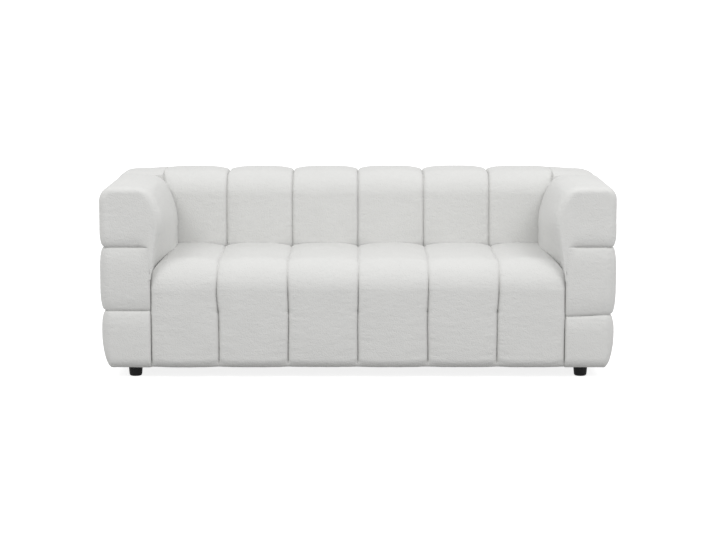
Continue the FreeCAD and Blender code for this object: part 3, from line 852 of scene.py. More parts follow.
def draw_in(rings, out):
    """Moves rings against out by the seam's groove: edge * share^4 + crease, times its fade."""
    x, z = rings[..., X], rings[..., Z]
    share = np.clip((CROWN_START - z) / (CROWN_START - upper_seam), 0, 1)
    groove = (PAD - TIER_EDGE) * share**GROOVE_POWER + crease(z, [upper_seam], TIER_CREASE)
    rings[..., :2] -= out * (groove * seam_fade(x))[..., None]


print(len(crown_heights()), "rings between the upper seam and the crown")

# %% [markdown]
# On the real sofa the top tier is a bolster that hangs over the seat. Its inner side lies on
# the seat's rounded end, bellies out above it and leans back to the top. The side is drawn as
# a few points whose corners are cut, because that keeps the belly easy to change.

# %% Inner side of the top tier
BELLY = [(0.742, 0.520), (0.7405, 0.545), (0.7415, 0.585), (0.750, 0.625), (0.762, 0.662),
         (0.779, 0.700), (0.803, 0.730), (0.842, 0.7435)]
BELLY_START = BELLY[0][1]
BELLY_STEPS = 200
FOOT_LOW = 0.392
FOOT_LIMIT = ((0.46, 0.49, 0.52), (0.741, 0.7418, 0.742))
CROWN_ROWS = 42


def belly_foot(z):
    """Place of the arm's inner side where it lies on the seat's rounded end, at height z."""
    rise = np.clip(z - (seat_top - END_ROUND), 0, END_ROUND)
    return half_seat - END_ROUND + np.sqrt(END_ROUND**2 - rise**2)


def inner_side(z):
    """The inner side as (x, height): the seat's end below, the belly's curve above."""
    belly = profile(BELLY, BELLY_STEPS)
    foot = np.maximum(belly_foot(z), np.interp(z, *FOOT_LIMIT))
    x = np.where(z < BELLY_START, foot, np.interp(z, belly[:, 1], belly[:, 0]))
    crown = even_walk(belly[belly[:, 1] > CROWN_START], CROWN_ROWS)
    return np.concatenate([np.stack([x, z], -1), crown])


print("the belly reaches in to x =", round(float(inner_side(crown_heights())[:, 0].min()), 4))

# %% Foot of the top tier
JOINT_LAP = 0.003
JOINT_PROUD = 0.0004
FLARE_DEPTH = 0.38
FLARE_HEIGHTS = (0.44, 0.66)
DROP_STOP = 0.56
TIP_HEIGHT = 0.004


def lap_foot(foot):
    """The foot's outer part ends just past the seat's end, and stands a hair proud in front."""
    foot[..., X] = np.minimum(foot[..., X], half_seat + JOINT_LAP)
    foot[..., Y] -= JOINT_PROUD * (foot[..., Y] < 0)
    return foot


def flared(rings):
    """The belly grows from nothing in front to its full reach FLARE_DEPTH behind.

    The reach inwards is scaled by 1 - (1 - back) * (1 - up), where back and up are shares of
    the way back and up. Points that move outwards are lowered onto the seat's end and nose.
    """
    x, y, z = np.moveaxis(rings, -1, 0)
    back_by = np.clip((y - front) / FLARE_DEPTH, 0, 1)
    flare = 1 - (1 - back_by) * (1 - smooth(z, *FLARE_HEIGHTS))
    inward = half_seat - x
    moved = np.where(inward > 0, half_seat - inward * flare, x)
    seat_below = np.minimum(end_height(moved), seat_top - rounding(y - front, NOSE))
    seat_below = np.maximum(seat_below, seat_top - END_ROUND + TIP_HEIGHT)
    drop = (end_height(x) - seat_below) * (1 - smooth(z, seat_top, DROP_STOP)) * (inward > 0)
    return np.stack([moved, y, z - np.maximum(drop, 0)], -1)


# %% Top tier of each arm
TOP_FRONT_ROUND = (0.022, 0.022)
TOP_OUTER_INSET = 0.003
TOP_CORNERS = {"inner rear": 0.010, "outer front": 0.030, "outer rear": 0.010}
INNER_CORNER = (0.006, 0.028)
INNER_CORNER_HEIGHTS = (0.47, 0.60)
TOP_DOME = 0.003
ARM_COUNTS = (round((seat_rear - front) / SPACING), 66)


def top_tier_rings(seam_round, outer_round):
    """Rings of a right top tier, with its foot on the seat and its outer part on the seam.

    seam_round is the round of its rear upper edge, where the back end begins. outer_round is
    how far its outer upper edge turns in and how far it rises.
    """
    z = np.concatenate([np.arange(FOOT_LOW, upper_seam, SPACING), crown_heights()])
    inner = inner_side(z)
    front_side, outer, rear_side = upright_sides(z, CROWN_ROWS, (
        (*TOP_FRONT_ROUND, front, 1), (*outer_round, half_width - TOP_OUTER_INSET, -1),
        (seam_round, seam_round, seat_rear, -1)))
    in_foot = inner[:, 1] < upper_seam
    room = np.where(in_foot, half_seat - inner[:, 0], 1)
    least, more = INNER_CORNER
    inner_front = np.minimum(least + more * smooth(inner[:, 1], *INNER_CORNER_HEIGHTS), room)
    corners = (TOP_CORNERS["inner rear"], inner_front, TOP_CORNERS["outer front"],
               TOP_CORNERS["outer rear"])
    rings, out = block_rings(inner, front_side, outer, rear_side, corners, ARM_COUNTS)
    draw_in(rings, out)
    rings[in_foot] = lap_foot(rings[in_foot])
    return flared(rings)


SEAM_ROUNDS = {"right": 0.011, "left": 0.003}
OUTER_ROUNDS = {"right": (0.041, 0.047), "left": (0.046, 0.052)}
for side, turn in SIDES.items():
    rings = top_tier_rings(SEAM_ROUNDS[side], OUTER_ROUNDS[side])
    tier_pieces["top", side] = block("arm_top_tier_" + side, turn(rings), ARM_COUNTS, TOP_DOME)

# %% [markdown]
# Behind each arm the back has an end of its own, a block between the arm, the back cover and
# the outside back. It is the same kind of block as the top tier, so that their seam fits, and
# it rises a few millimetres towards the back's channels, which stand higher than the arm.

# %% Ends of the back behind the arms
END_COUNTS = (round((rear - seat_rear) / SPACING), 58)
END_CROWN_ROWS = 48
END_INNER_ROUND = (0.0015, 0.0015)
END_INNER_LAP = 0.001
END_CORNERS = (0.004, 0.004, 0.010, TIER_CORNER)
END_DOME = 0.002
LIFT, LIFT_MORE = 0.004, 0.006
LIFT_REACH = 0.09


def back_end_rings(seam_round, outer_round, rear_round):
    """Rings of a right back end, whose front, outer and rear upper edges have given rounds."""
    inner, front_side, outer, rear_side = upright_sides(crown_heights(), END_CROWN_ROWS, (
        (*END_INNER_ROUND, half_seat - END_INNER_LAP, 1),
        (seam_round, seam_round, seat_rear + 2 * GAP, 1),
        (*outer_round, half_width, -1), (*rear_round, rear, -1)))
    rings, out = block_rings(inner, front_side, outer, rear_side, END_CORNERS, END_COUNTS)
    draw_in(rings, out)
    x, y, z = np.moveaxis(rings, -1, 0)
    lift = LIFT + LIFT_MORE * (1 - smooth(x, half_seat, half_seat + LIFT_REACH))
    lift = lift * smooth(z, CROWN_START, arm_top)
    rings[..., Z] += lift * smooth(y, seat_rear, seat_rear + LIFT_REACH)
    return rings


END_ROUNDS = {"right": ((0.075, 0.046), (0.05, 0.045)), "left": ((0.058, 0.052), (0.05, 0.045))}
for side, turn in SIDES.items():
    rings = back_end_rings(SEAM_ROUNDS[side], *END_ROUNDS[side])
    tier_pieces["end", side] = block("back_end_" + side, turn(rings), END_COUNTS, END_DOME)

# %% [markdown]
# The outside back is one plain padded panel between the back ends. A flat board with a bevel
# would nearly do, but a strip gives it the same soft edges and nubs as the rest of the cloth.

# %% Outside back
PANEL_SPACING = SPACING * 1.4
PANEL_ROUND = 0.02
PANEL_END_ROUND = 0.014


def outside_back_rings():
    """Rings of the plain rear panel, from its left end to its right, round at every edge."""
    x0, x1 = low("outside_back_panel", X), high("outside_back_panel", X)
    x = np.linspace(x0, x1, round((x1 - x0) / PANEL_SPACING))
    z = channel_places([hem, panel_top], PANEL_SPACING)
    base = np.stack([x, np.full(len(x), panel_inside)], -1)
    out = np.repeat([[0.0, 1.0]], len(x), 0)
    edge = np.minimum(z - hem, panel_top - z)
    thick = rear - panel_inside - rounding(edge, PANEL_ROUND)[None]
    thick = thick - rounding(np.minimum(x - x0, x1 - x), PANEL_END_ROUND)[:, None]
    inside = np.linspace(panel_top, hem, TIER_BASE_PLACES)
    return strip(base, out, z, np.maximum(thick, THINNEST), inside, lying)


rear_piece = tube("outside_back", outside_back_rings())

# %% [markdown]
# Under the cloth lie foam and felt. They are cut from sheet, so a block is one outline carried
# along the sofa. Extruding a curve would do the same. As rings, the seat foam can also be cut
# down at its ends, where the seat is rounded.

# %% Outlines and slabs
FOAM_SPACING = 0.012
TURN_SHARE = 1.6


def outline(corners, turns):
    """Places along a closed outline of (y, z) corners, each turned by its radius."""
    corners = [np.array(c, float) for c in corners]
    places = []
    for i, corner in enumerate(corners):
        before = (corners[i - 1] - corner) / np.linalg.norm(corners[i - 1] - corner)
        after = corners[(i + 1) % len(corners)] - corner
        after = after / np.linalg.norm(after)
        centre = corner + (before + after) * turns[i]
        count = max(3, round(TURN_SHARE * turns[i] / FOAM_SPACING))
        angle = np.linspace(0, math.pi / 2, count)[:, None]
        places.append(centre - after * turns[i] * np.cos(angle) - before * turns[i] * np.sin(angle))
    starts = np.concatenate(places)
    stops = np.roll(starts, -1, axis=0)
    runs = []
    for start, stop in zip(starts, stops):
        count = max(1, round(float(np.linalg.norm(stop - start)) / FOAM_SPACING))
        t = np.arange(count)[:, None] / count
        runs.append(start + (stop - start) * t)
    return np.concatenate(runs)


def slab(name, corners, turns, reach, limit=None):
    """A closed slab: the outline carried from -reach to reach, under a limit of height."""
    x = np.linspace(-reach, reach, round(2 * reach / FOAM_SPACING))
    places = outline(corners, turns)
    rings = np.empty((len(x), len(places), 3))
    rings[..., X] = x[:, None]
    rings[..., 1:] = places[None]
    if limit is not None:
        rings[..., Z] = np.minimum(rings[..., Z], limit(x)[:, None])
    return tube(name, rings)


# %% Foam and felt
CUT_EDGE = 0.0025
FOAM_NOSE = 0.0897
FOAM_ROLL = 0.0597
OVER_RAIL = 0.045
FELT_EDGE = 0.001
(_, foam_y, foam_z), (_, foam_end, foam_top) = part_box("seat_foam")
step = low("back_foam", Z) - GAP
step_y = back_face - GAP
foam_piece = slab(
    "foam_of_seat",
    [(foam_y, foam_z), (foam_end, foam_z), (foam_end, step), (step_y, step),
     (step_y, foam_top), (foam_y, foam_top)],
    [CUT_EDGE] * 5 + [FOAM_NOSE], half_seat - GAP, lambda x: end_height(x) - GAP)

(_, roll_y, foot_z), (back_reach, over_end, roll_top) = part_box("back_foam")
webbing_y = low("back_webbing", Y) - GAP
over_z = low("back_top_rail", Z) + OVER_RAIL + GAP
back_foam_piece = slab(
    "foam_of_back",
    [(roll_y, foot_z), (webbing_y, foot_z), (webbing_y, over_z), (over_end, over_z),
     (over_end, roll_top), (roll_y, roll_top)],
    [CUT_EDGE] * 5 + [FOAM_ROLL], back_reach)

(_, felt_y, felt_z), (felt_x, felt_end, felt_top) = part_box("felt_pad")
felt_piece = slab(
    "felt_over_webbing",
    [(felt_y, felt_z), (felt_end, felt_z), (felt_end, felt_top), (felt_y, felt_top)],
    [FELT_EDGE] * 4, felt_x)

# %% [markdown]
# The foam rests on woven webbing: bands of jute that climb over every second band they cross.
# A weave drawn by a texture on one flat sheet would be cheaper, but the bands show in the bare
# frame. Each band is a thin tube of rings, raised where it crosses over.

# %% Webbing
STRAP = 0.07
STRAP_THICK = 0.0016
STRAP_RAMP = 0.012
STRAP_STEP = 0.004
STRAP_GAP = 0.0001
STRAP_PLACES = 15
EDGE_THIN, EDGE_WIDTH = 0.35, 0.002


def strap(name, start, stop, crossed, place):
    """A flat band from start to stop, raised by its own thickness over the crossed places."""
    s = np.linspace(start, stop, round((stop - start) / STRAP_STEP))
    gap = np.abs(s[:, None] - np.array(crossed)[None]).min(1)
    rise = (STRAP_THICK + STRAP_GAP) * smooth(-gap, -STRAP / 2 - STRAP_RAMP, -STRAP / 2)
    w = np.linspace(-0.5, 0.5, STRAP_PLACES) * STRAP
    near_edge = smooth(np.abs(w), STRAP / 2 - EDGE_WIDTH, STRAP / 2)
    across = np.concatenate([w, w[::-1]])
    level = np.concatenate([STRAP_THICK * (1 - EDGE_THIN * near_edge), np.zeros(len(w))])
    return tube(name, place(s[:, None], across[None], rise[:, None] + level[None]))


def weave(name, columns, rows, lengths, widths, place):
    """Straps along the columns and across the rows, each over every second one it crosses."""
    made = []
    for i, x in enumerate(columns):
        made.append(strap("%s_long_%d" % (name, i + 1), *lengths, rows[i % 2 :: 2],
                          lambda s, w, h, x=x: place(x + w + 0 * s, s + 0 * w, h)))
    for j, y in enumerate(rows):
        made.append(strap("%s_cross_%d" % (name, j + 1), *widths, columns[(j + 1) % 2 :: 2],
                          lambda s, w, h, y=y: place(s + 0 * w, y + w + 0 * s, h)))
    return made


# %% Webbing of the seat and the back
COLUMNS = 6
ROW_INSET, BACK_ROW_INSET, COLUMN_INSET = 0.110, 0.09, 0.075
(web_x, web_y, web_z), (_, web_end, _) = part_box("seat_webbing")
seat_columns = np.linspace(COLUMN_INSET - half_seat, half_seat - COLUMN_INSET, COLUMNS)
seat_rows = [web_y + ROW_INSET, web_end - ROW_INSET]
seat_straps = weave("seat_webbing", seat_columns, seat_rows, (web_y, web_end), (web_x, -web_x),
                    lambda x, y, h: np.stack([x, y, web_z + h], -1))
(_, _, up_z), (_, up_y, up_end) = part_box("back_webbing")
back_columns = (np.arange(COLUMNS) - (COLUMNS - 1) / 2) * PITCH
back_rows = [step + BACK_ROW_INSET, up_end - BACK_ROW_INSET]
back_straps = weave("back_webbing", back_columns, back_rows, (up_z, up_end), (web_x, -web_x),
                    lambda x, z, h: np.stack([x, up_y - h, z], -1))

# %% [markdown]
# A black dust cloth is stretched under the frame and stapled at its edge. It is so thin that
# it could be a plane with a Solidify modifier. As rings it is closed at once, and it can sag
# a little between its staples.

# %% Dust cover
DUST_INSET = 0.004
DUST_THICK = 0.0006
DUST_GAP = 0.00005
DUST_COUNTS = (161, 65)
SAG_DEPTH, SAG_SIZE, SAG_EDGE = 0.0004, 0.06, 0.05


def dust_cloth():
    """An even grid, DUST_THICK thick, that sags by SAG_DEPTH * (1 + noise) away from its edge."""
    (x0, y0, z0), (x1, y1, z1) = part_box("dust_cover")
    x = np.linspace(x0 + DUST_INSET, x1 - DUST_INSET, DUST_COUNTS[0])
    y = np.linspace(y0 + DUST_INSET, y1 - DUST_INSET, DUST_COUNTS[1])
    grid = np.stack(np.meshgrid(x, y, indexing="ij"), -1)
    edge = np.minimum(np.minimum(grid[..., 0] - x0, x1 - grid[..., 0]),
                      np.minimum(grid[..., 1] - y0, y1 - grid[..., 1]))
    flat = np.concatenate([grid, np.zeros(grid.shape[:2] + (1,))], -1)
    sag = SAG_DEPTH * (1 + noise(flat, SAG_SIZE)) * smooth(edge, 0.0, SAG_EDGE)
    upper = np.concatenate([grid, (z1 - DUST_GAP - sag)[..., None]], -1)
    lower = upper - np.array([0, 0, DUST_THICK])
    rings = np.concatenate([upper, lower[:, ::-1]], 1)
    return tube("dust_cloth", rings), (x[-1] - x[0], y[-1] - y[0])


dust_piece, dust_size = dust_cloth()

# %% [markdown]
# The feet are low moulded plastic glides, widest at the top. A Screw modifier could turn their
# profile. Carried round an axis as an array it needs no modifier, and one function makes all
# five.

# %% Feet
FOOT_PROFILE = [(0.020, 0.0), (0.0225, 0.0012), (0.0243, 0.0048), (0.0252, 0.010),
                (0.0262, 0.022), (0.0270, 0.034), (0.0270, 0.040)]
FOOT_SIDES = 48


def foot_rings(x, y):
    """A turned foot: each profile radius carried round the axis at (x, y)."""
    angle = np.linspace(0, 2 * math.pi, FOOT_SIDES, endpoint=False)
    radius, z = np.array(FOOT_PROFILE).T
    rings = np.empty((len(z), len(angle), 3))
    rings[..., X] = x + radius[:, None] * np.cos(angle)
    rings[..., Y] = y + radius[:, None] * np.sin(angle)
    rings[..., Z] = z[:, None]
    return rings


foot_reach = np.array(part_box("feet")[1]) - FOOT_PROFILE[-1][0]
places = {"centre": (0, 0), "front_right": (1, -1), "front_left": (-1, -1),
          "rear_right": (1, 1), "rear_left": (-1, 1)}
feet = [tube("foot_" + name, foot_rings(x * foot_reach[X], y * foot_reach[Y]))
        for name, (x, y) in places.items()]

# %% [markdown]
# Now the finishes. An image would be the quickest cloth or wood, but a pattern of nodes has no
# seam and no edge. Patterns sit on Object coordinates, so they stay put on the piece. Effects
# that several materials share, such as loops or grain, are node groups, and they put out only
# values and colours that change over the surface.

# %% Helpers for shader nodes
def new_group(name, inputs, outputs):
    """An empty shader node group with float inputs and typed outputs."""
    tree = bpy.data.node_groups.new(name, "ShaderNodeTree")
    for label, default in inputs.items():
        socket = tree.interface.new_socket(label, in_out="INPUT", socket_type="NodeSocketFloat")
        socket.default_value = default
    for label, kind in outputs.items():
        tree.interface.new_socket(label, in_out="OUTPUT", socket_type="NodeSocket" + kind)
    return tree, tree.nodes.new("NodeGroupInput"), tree.nodes.new("NodeGroupOutput")


def make_noise(tree, coordinates, scale, detail=2.0, roughness=0.5):
    """A noise texture at a fixed scale on the given coordinates."""
    node = tree.nodes.new("ShaderNodeTexNoise")
    node.inputs["Scale"].default_value = scale
    node.inputs["Detail"].default_value = detail
    node.inputs["Roughness"].default_value = roughness
    tree.links.new(coordinates, node.inputs["Vector"])
    return node


def scaled(tree, value, factor, offset=0.0):
    """value * factor + offset, where factor is a number or a socket."""
    node = tree.nodes.new("ShaderNodeMath")
    node.operation = "MULTIPLY_ADD"
    tree.links.new(value, node.inputs[0])
    if isinstance(factor, (int, float)):
        node.inputs[1].default_value = factor
    else:
        tree.links.new(factor, node.inputs[1])
    node.inputs[2].default_value = offset
    return node.outputs[0]


def added(tree, first, second):
    """first + second."""
    node = tree.nodes.new("ShaderNodeMath")
    tree.links.new(first, node.inputs[0])
    tree.links.new(second, node.inputs[1])
    return node.outputs[0]


def tinted(tree, color, tint):
    """color times a tint near 1, as a colour that changes over the surface."""
    node = tree.nodes.new("ShaderNodeVectorMath")
    node.operation = "SCALE"
    node.inputs[0].default_value = color
    tree.links.new(tint, node.inputs["Scale"])
    return node.outputs[0]


def own_place(tree):
    """The Object coordinates of the piece."""
    return tree.nodes.new("ShaderNodeTexCoord").outputs["Object"]


# %% Helpers for materials
def new_material(name):
    """A material with its Principled BSDF and its node tree."""
    material = bpy.data.materials.new(name)
    material.use_nodes = True
    return material, material.node_tree, material.node_tree.nodes["Principled BSDF"]


def use_group(tree, group, values):
    """A node group placed in a material, with its own values."""
    node = tree.nodes.new("ShaderNodeGroup")
    node.node_tree = group
    for label, value in values.items():
        node.inputs[label].default_value = value
    return node


def bump(tree, shader, height, distance, strength):
    """Bump from a height onto the shader's normal, distance in metres."""
    node = tree.nodes.new("ShaderNodeBump")
    node.inputs["Distance"].default_value = distance
    node.inputs["Strength"].default_value = strength
    tree.links.new(height, node.inputs["Height"])
    tree.links.new(node.outputs[0], shader.inputs["Normal"])


# %% [markdown]
# Between the nubs of the mesh lie the loops of the yarn, a few millimetres wide. Geometry so
# fine would take millions of faces, so a group gives them as a height for bump: cells for the
# loops, and noise in two sizes for their curls. A faint tint breaks up the even colour.

# %% The loops of the yarn
LOOPS, CURLS, FIBRES = 210, 150, 420
BROAD, MOTTLE = 9, 70


def loop_group():
    """Loops of yarn: lumps a few millimetres wide for height, and a faint change of shade."""
    tree, given, result = new_group("yarn_loops", {"Loop Depth": 1.0, "Shade": 0.03},
                                    {"Height": "Float", "Tint": "Float"})
    place = own_place(tree)
    cells = tree.nodes.new("ShaderNodeTexVoronoi")
    cells.inputs["Scale"].default_value = LOOPS
    tree.links.new(place, cells.inputs["Vector"])
    fibres = scaled(tree, make_noise(tree, place, FIBRES, 3).outputs[0], 0.35)
    curls = scaled(tree, make_noise(tree, place, CURLS, 2).outputs[0], 0.8)
    height = added(tree, scaled(tree, cells.outputs["Distance"], -0.9, 0.6),
                   added(tree, fibres, curls))
    tree.links.new(scaled(tree, height, given.outputs["Loop Depth"]), result.inputs["Height"])
    broad = scaled(tree, make_noise(tree, place, BROAD, 3).outputs[0], 1, -0.5)
    mottle = scaled(tree, make_noise(tree, place, MOTTLE, 2).outputs[0], 0.8, -0.4)
    shade = added(tree, broad, mottle)
    tree.links.new(scaled(tree, shade, given.outputs["Shade"], 1.0), result.inputs["Tint"])
    return tree


loops = loop_group()
print(loops.name, "has", len(loops.nodes), "nodes")

# %% [markdown]
# The boucle scatters light softly in all directions, so it is rough, with a weak sheen from
# the loose fibres. Its colour is a cool off-white. Hair would look woollier close up, but it
# would be slow, and it couldn't be exported.

# %% Boucle
BOUCLE = (0.665, 0.665, 0.653)
LOOP_HEIGHT = 0.0012


def boucle_material():
    """Off-white looped cloth."""
    material, tree, shader = new_material("boucle_off_white")
    group = use_group(tree, loops, {"Loop Depth": 1.0, "Shade": 0.05})
    tree.links.new(tinted(tree, BOUCLE, group.outputs["Tint"]), shader.inputs["Base Color"])
    shader.inputs["Roughness"].default_value = 0.95
    shader.inputs["Specular IOR Level"].default_value = 0.15
    shader.inputs["Sheen Weight"].default_value = 0.10
    shader.inputs["Sheen Roughness"].default_value = 0.5
    bump(tree, shader, group.outputs["Height"], LOOP_HEIGHT, 0.8)
    return material


boucle = boucle_material()

# %% [markdown]
# The feet are black plastic from a mould. It is never quite black or even: a broad noise
# changes its shade and its gloss a little, and a fine one gives the skin of the mould. One
# noise for both colour and gloss is enough, because handling changes them together.

# %% Foot plastic
FOOT_BLACK = (0.005, 0.005, 0.0055)
MOULD_SKIN = 0.0002


def plastic_material():
    """Black moulded plastic with a fine, uneven gloss."""
    material, tree, shader = new_material("foot_plastic_black")
    place = own_place(tree)
    fine = make_noise(tree, place, 900, 2)
    broad = make_noise(tree, place, 60, 3)
    tree.links.new(tinted(tree, FOOT_BLACK, scaled(tree, broad.outputs[0], 0.6, 0.7)),
                   shader.inputs["Base Color"])
    tree.links.new(scaled(tree, broad.outputs[0], 0.2, 0.5), shader.inputs["Roughness"])
    shader.inputs["Specular IOR Level"].default_value = 0.2
    bump(tree, shader, fine.outputs[0], MOULD_SKIN, 0.5)
    return material


plastic = plastic_material()

# %% [markdown]
# The hidden parts have their own finishes. Sawn wood and plywood have a grain that runs along
# the piece. True rings would need the log's axis for every board. Noise stretched along one
# axis looks the same on a narrow rail, and a group takes the stretch as its inputs.

# %% Grain of wood
GRAIN_SIZE, PORE_SIZE, GRAIN_ROUGH = 26, 170, 0.6
PORE_DEPTH = 0.0003


def grain_group():
    """Long wood grain: stretched noise, whose stretch along each axis is an input."""
    tree, given, result = new_group("wood_grain", {"Scale X": 1.0, "Scale Y": 1.0, "Scale Z": 1.0},
                                    {"Grain": "Float", "Pores": "Float"})
    scale = tree.nodes.new("ShaderNodeCombineXYZ")
    for axis in "XYZ":
        tree.links.new(given.outputs["Scale " + axis], scale.inputs[axis])
    stretched = tree.nodes.new("ShaderNodeVectorMath")
    stretched.operation = "MULTIPLY"
    tree.links.new(own_place(tree), stretched.inputs[0])
    tree.links.new(scale.outputs[0], stretched.inputs[1])
    for label, size, detail in (("Grain", GRAIN_SIZE, 4), ("Pores", PORE_SIZE, 2)):
        node = make_noise(tree, stretched.outputs[0], size, detail, GRAIN_ROUGH)
        tree.links.new(node.outputs[0], result.inputs[label])
    return tree


grain = grain_group()
STRETCH = 0.06


def two_tone(tree, mask, dark, light):
    """A colour between dark and light, mixed by a mask."""
    node = tree.nodes.new("ShaderNodeMix")
    node.data_type = "RGBA"
    node.inputs["A"].default_value = (*dark, 1)
    node.inputs["B"].default_value = (*light, 1)
    tree.links.new(mask, node.inputs["Factor"])
    return node.outputs["Result"]


def wood_material(name, along, dark, light, rough=0.6):
    """Sawn wood with its grain along one axis."""
    material, tree, shader = new_material(name)
    group = use_group(tree, grain, {
        "Scale " + axis.upper(): STRETCH if axis == along else 1 for axis in "xyz"})
    tree.links.new(two_tone(tree, scaled(tree, group.outputs["Grain"], 2.6, -0.8), dark, light),
                   shader.inputs["Base Color"])
    tree.links.new(scaled(tree, group.outputs["Pores"], 0.2, rough - 0.1),
                   shader.inputs["Roughness"])
    bump(tree, shader, group.outputs["Pores"], PORE_DEPTH, 0.5)
    return material


PINE = ((0.42, 0.27, 0.14), (0.62, 0.44, 0.26))
PLY = ((0.46, 0.31, 0.17), (0.60, 0.44, 0.27))
timber = {axis: wood_material("timber_" + axis, axis, *PINE) for axis in "xyz"}
plywood = {axis: wood_material("plywood_" + axis, axis, *PLY) for axis in "yz"}
print("woods", [material.name for material in (*timber.values(), *plywood.values())])

# %% [markdown]
# Fibreboard is pressed chips, foam has pores, and felt and the dust cloth have fibres. Each is
# a speckle of one size in the colour, the gloss and the surface, so one function makes them
# all. Webbing is woven in ribs across its length, and a wave along that axis draws them.

# %% Fibreboard, foam, felt and webbing
def speckled_material(name, color, scale, spread, depth, rough=0.85):
    """Pores, fibres or pressed chips: noise at one scale in the colour and the surface."""
    material, tree, shader = new_material(name)
    fine = make_noise(tree, own_place(tree), scale, 3, 0.65)
    tree.links.new(tinted(tree, color, scaled(tree, fine.outputs[0], spread, 1 - spread / 2)),
                   shader.inputs["Base Color"])
    tree.links.new(scaled(tree, fine.outputs[0], 0.15, rough - 0.07), shader.inputs["Roughness"])
    bump(tree, shader, fine.outputs[0], depth, 0.7)
    return material


WAVE_AT_ONE_METRE = 0.314
RIB_HEIGHT = 0.0004


def ribbed_material(name, color, axis, pitch):
    """Woven ribs across an axis, one every pitch metres."""
    material, tree, shader = new_material(name)
    ribs = tree.nodes.new("ShaderNodeTexWave")
    ribs.bands_direction = axis
    ribs.inputs["Scale"].default_value = WAVE_AT_ONE_METRE / pitch
    ribs.inputs["Distortion"].default_value = 0.6
    tree.links.new(own_place(tree), ribs.inputs["Vector"])
    tree.links.new(tinted(tree, color, scaled(tree, ribs.outputs["Fac"], 0.5, 0.7)),
                   shader.inputs["Base Color"])
    shader.inputs["Roughness"].default_value = 0.8
    bump(tree, shader, ribs.outputs["Fac"], RIB_HEIGHT, 0.8)
    return material


JUTE = (0.10, 0.085, 0.07)
RIB_PITCH = 0.004
fibreboard = speckled_material("fibreboard_brown", (0.30, 0.19, 0.11), 320, 0.5, 0.0003)
foam_skin = speckled_material("foam_cream", (0.72, 0.66, 0.48), 900, 0.35, 0.0005, 0.9)
felt_skin = speckled_material("felt_grey", (0.22, 0.22, 0.23), 500, 0.7, 0.0006, 0.95)
cloth_black = speckled_material("dust_cloth_black", (0.018, 0.018, 0.019), 1200, 0.6, 0.0002, 0.9)
webbing = {way: ribbed_material("webbing_" + way, JUTE, axis, RIB_PITCH)
           for way, axis in (("long", "X"), ("cross", "Y"), ("level", "Z"))}
print("webbing", [material.name for material in webbing.values()])

# %% [markdown]
# The frame's own shapes are right as the CAD made them, so they only get new materials. Each
# piece takes the wood whose grain runs along it, as a joiner would cut it.

# %% Finishes for the frame that the CAD made
ALONG_X, ALONG_Y, ALONG_Z = timber["x"], timber["y"], timber["z"]
FINISHES = {
    "seat_front_rail": ALONG_X, "seat_rear_rail": ALONG_X, "back_top_rail": ALONG_X,
    "seat_cross_rail_1": ALONG_Y, "seat_cross_rail_2": ALONG_Y, "seat_cross_rail_3": ALONG_Y,
    "seat_corner_blocks": ALONG_Z, "back_uprights": ALONG_Z, "back_board": fibreboard,
}
SIDE_FINISHES = {
    "seat_side_rail_": ALONG_Y, "arm_bottom_rail_": ALONG_Y, "arm_posts_": ALONG_Z,
    "front_foot_block_": ALONG_X, "rear_foot_block_": ALONG_X,
    "arm_front_panel_": plywood["z"], "arm_rear_panel_": plywood["z"],
    "arm_inner_panel_": plywood["y"], "arm_top_board_": plywood["y"],
    "arm_outer_board_": fibreboard,
}
for side in SIDES:
    FINISHES.update({node + side: finish for node, finish in SIDE_FINISHES.items()})
for node, finish in FINISHES.items():
    shown = bpy.data.objects[node]
    shown.data.materials.clear()
    shown.data.materials.append(finish)
print(len(FINISHES), "frame pieces finished")

# %% [markdown]
# The CAD stands in for each soft piece with a plain solid. Now the cloth, foam and webbing
# take its place: each new piece gets its finish, replaces its solid, and rides with the sofa,
# which moves as one.


def dress(piece, node, finish):
    """The piece gets a finish, stands for a CAD node and rides on the one body."""
    piece.data.materials.append(finish)
    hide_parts(node)
    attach(piece, "root")


TIER_NODES = {"lower": "arm_lower_channels", "middle": "arm_middle_channels",
              "top": "arm_bolsters", "end": "back_end_blocks"}
covers = {seat_piece: "seat_cover", back_piece: "back_cover", rear_piece: "outside_back_panel"}
covers.update({piece: TIER_NODES[tier] for (tier, side), piece in tier_pieces.items()})
for piece, node in covers.items():
    add_nubs(piece)
    dress(piece, node, boucle)
print(len(covers), "pieces of cloth")

# %% Dress what lies under the cloth
for piece, node, slot, finish in (
    (foam_piece, "seat_foam", "foam", foam_skin), (back_foam_piece, "back_foam", "foam", foam_skin),
    (felt_piece, "felt_pad", "felt", felt_skin),
):
    dress(piece, node, finish)
BOX_RAILS = ["seat_front_rail", "seat_rear_rail"]
SIDE_RAILS = ["seat_side_rail_left", "seat_side_rail_right"]
woven = [
    (seat_straps, "seat_webbing", webbing["cross"], BOX_RAILS, SIDE_RAILS),
    (back_straps, "back_webbing", webbing["level"], ["back_top_rail", "back_uprights"],
     ["back_uprights"]),
]
for straps, node, across, under_long, under_cross in woven:
    for piece in straps:
        along = "_long_" in piece.name
        dress(piece, node, webbing["long"] if along else across)
dress(dust_piece, "dust_cover", cloth_black)
for foot in feet:
    dress(foot, "feet", plastic)

# %% [markdown]
# The studio is plain. A pale floor takes a soft shadow and the sky is an even white light.
# Two soft lamps stand high in front, one on each side, and the right one is a little stronger.
# A white backdrop would need more light than the sofa can take, so the floor and the sky look
# white only to the camera, and to rays that mirrors and glass would send.

# %% Floor and sky
FLOOR_GREY = (0.45, 0.45, 0.45)
FLOOR_CORNERS = np.array([[-60, -30, 0], [60, -30, 0], [60, 300, 0], [-60, 300, 0]], float)
FLOOR_SEEN = 0.85
SKY = 0.86


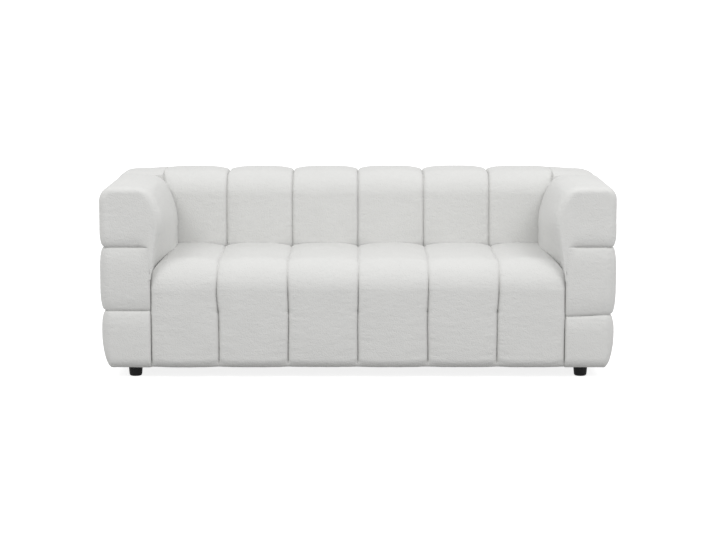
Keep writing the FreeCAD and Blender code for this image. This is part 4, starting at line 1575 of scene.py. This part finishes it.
def seen_directly(tree):
    """1 for rays from the camera, from a gloss and through glass, and 0 for the others."""
    ray = tree.nodes.new("ShaderNodeLightPath")
    return added(tree, added(tree, ray.outputs["Is Camera Ray"], ray.outputs["Is Glossy Ray"]),
                 ray.outputs["Is Transmission Ray"])


def studio_floor():
    """A wide pale floor that shows white to the camera and still keeps the shadow."""
    mesh = bpy.data.meshes.new("studio_floor")
    mesh.from_pydata(FLOOR_CORNERS, [], [[0, 1, 2, 3]])
    floor = bpy.data.objects.new("studio_floor", mesh)
    bpy.context.scene.collection.objects.link(floor)
    material, tree, shader = new_material("studio_floor")
    mottle = make_noise(tree, own_place(tree), 3, 2)
    tree.links.new(tinted(tree, FLOOR_GREY, scaled(tree, mottle.outputs[0], 0.01, 0.995)),
                   shader.inputs["Base Color"])
    shader.inputs["Roughness"].default_value = 0.9
    shader.inputs["Emission Color"].default_value = (1, 1, 1, 1)
    tree.links.new(scaled(tree, seen_directly(tree), FLOOR_SEEN),
                   shader.inputs["Emission Strength"])
    mesh.materials.append(material)


def sky(strength):
    """An even white world: strength on the object, 1 where the camera or a gloss sees it."""
    world = bpy.data.worlds.new("studio_sky")
    bpy.context.scene.world = world
    world.use_nodes = True
    tree = world.node_tree
    background = tree.nodes["Background"]
    background.inputs["Color"].default_value = (1, 1, 1, 1)
    clamped = tree.nodes.new("ShaderNodeClamp")
    tree.links.new(seen_directly(tree), clamped.inputs[0])
    tree.links.new(scaled(tree, clamped.outputs[0], 1 - strength, strength),
                   background.inputs["Strength"])


studio_floor()
sky(SKY)

# %% Lamps
LAMP_SIZE = 1.6
LAMP_TARGET = (0, 0, 0.4)
LAMPS = {"key_left": ((-2.4, -2.5, 3.7), 44), "key_right": ((2.4, -2.5, 3.7), 52)}


def soft_lamp(name, place, target, size, power):
    """A square area lamp at place, turned to face the target."""
    data = bpy.data.lights.new(name, "AREA")
    data.size = size
    data.energy = power
    lamp = bpy.data.objects.new(name, data)
    bpy.context.scene.collection.objects.link(lamp)
    lamp.location = place
    direction = np.array(target, float) - np.array(place, float)
    lamp.rotation_euler = Vector(direction).to_track_quat("-Z", "Y").to_euler()


for name, (place, power) in LAMPS.items():
    soft_lamp(name, place, LAMP_TARGET, LAMP_SIZE, power)
    print(name, place, power, "W")

# %% [markdown]
# The camera sees the sofa as in the photograph, from in front of its middle and a little above
# it, with a long lens that keeps its lines nearly parallel. Its place was fitted to the seams
# of the channels, because their distances are known from the CAD.

# %% Camera
LENS = 104.2
CAMERA_PLACE = (0.0, -8.348, 1.511)
CAMERA_PITCH = 7.81
camera_data = bpy.data.cameras.new("camera")
camera_data.lens = LENS
camera_data.sensor_width = 36
camera_data.clip_end = 1000
camera = bpy.data.objects.new("camera", camera_data)
bpy.context.scene.collection.objects.link(camera)
camera.location = CAMERA_PLACE
camera.rotation_euler = (math.radians(90 - CAMERA_PITCH), 0, 0)
bpy.context.scene.camera = camera
bpy.context.scene.view_settings.view_transform = "Standard"
print("camera", CAMERA_PLACE, "lens", LENS)
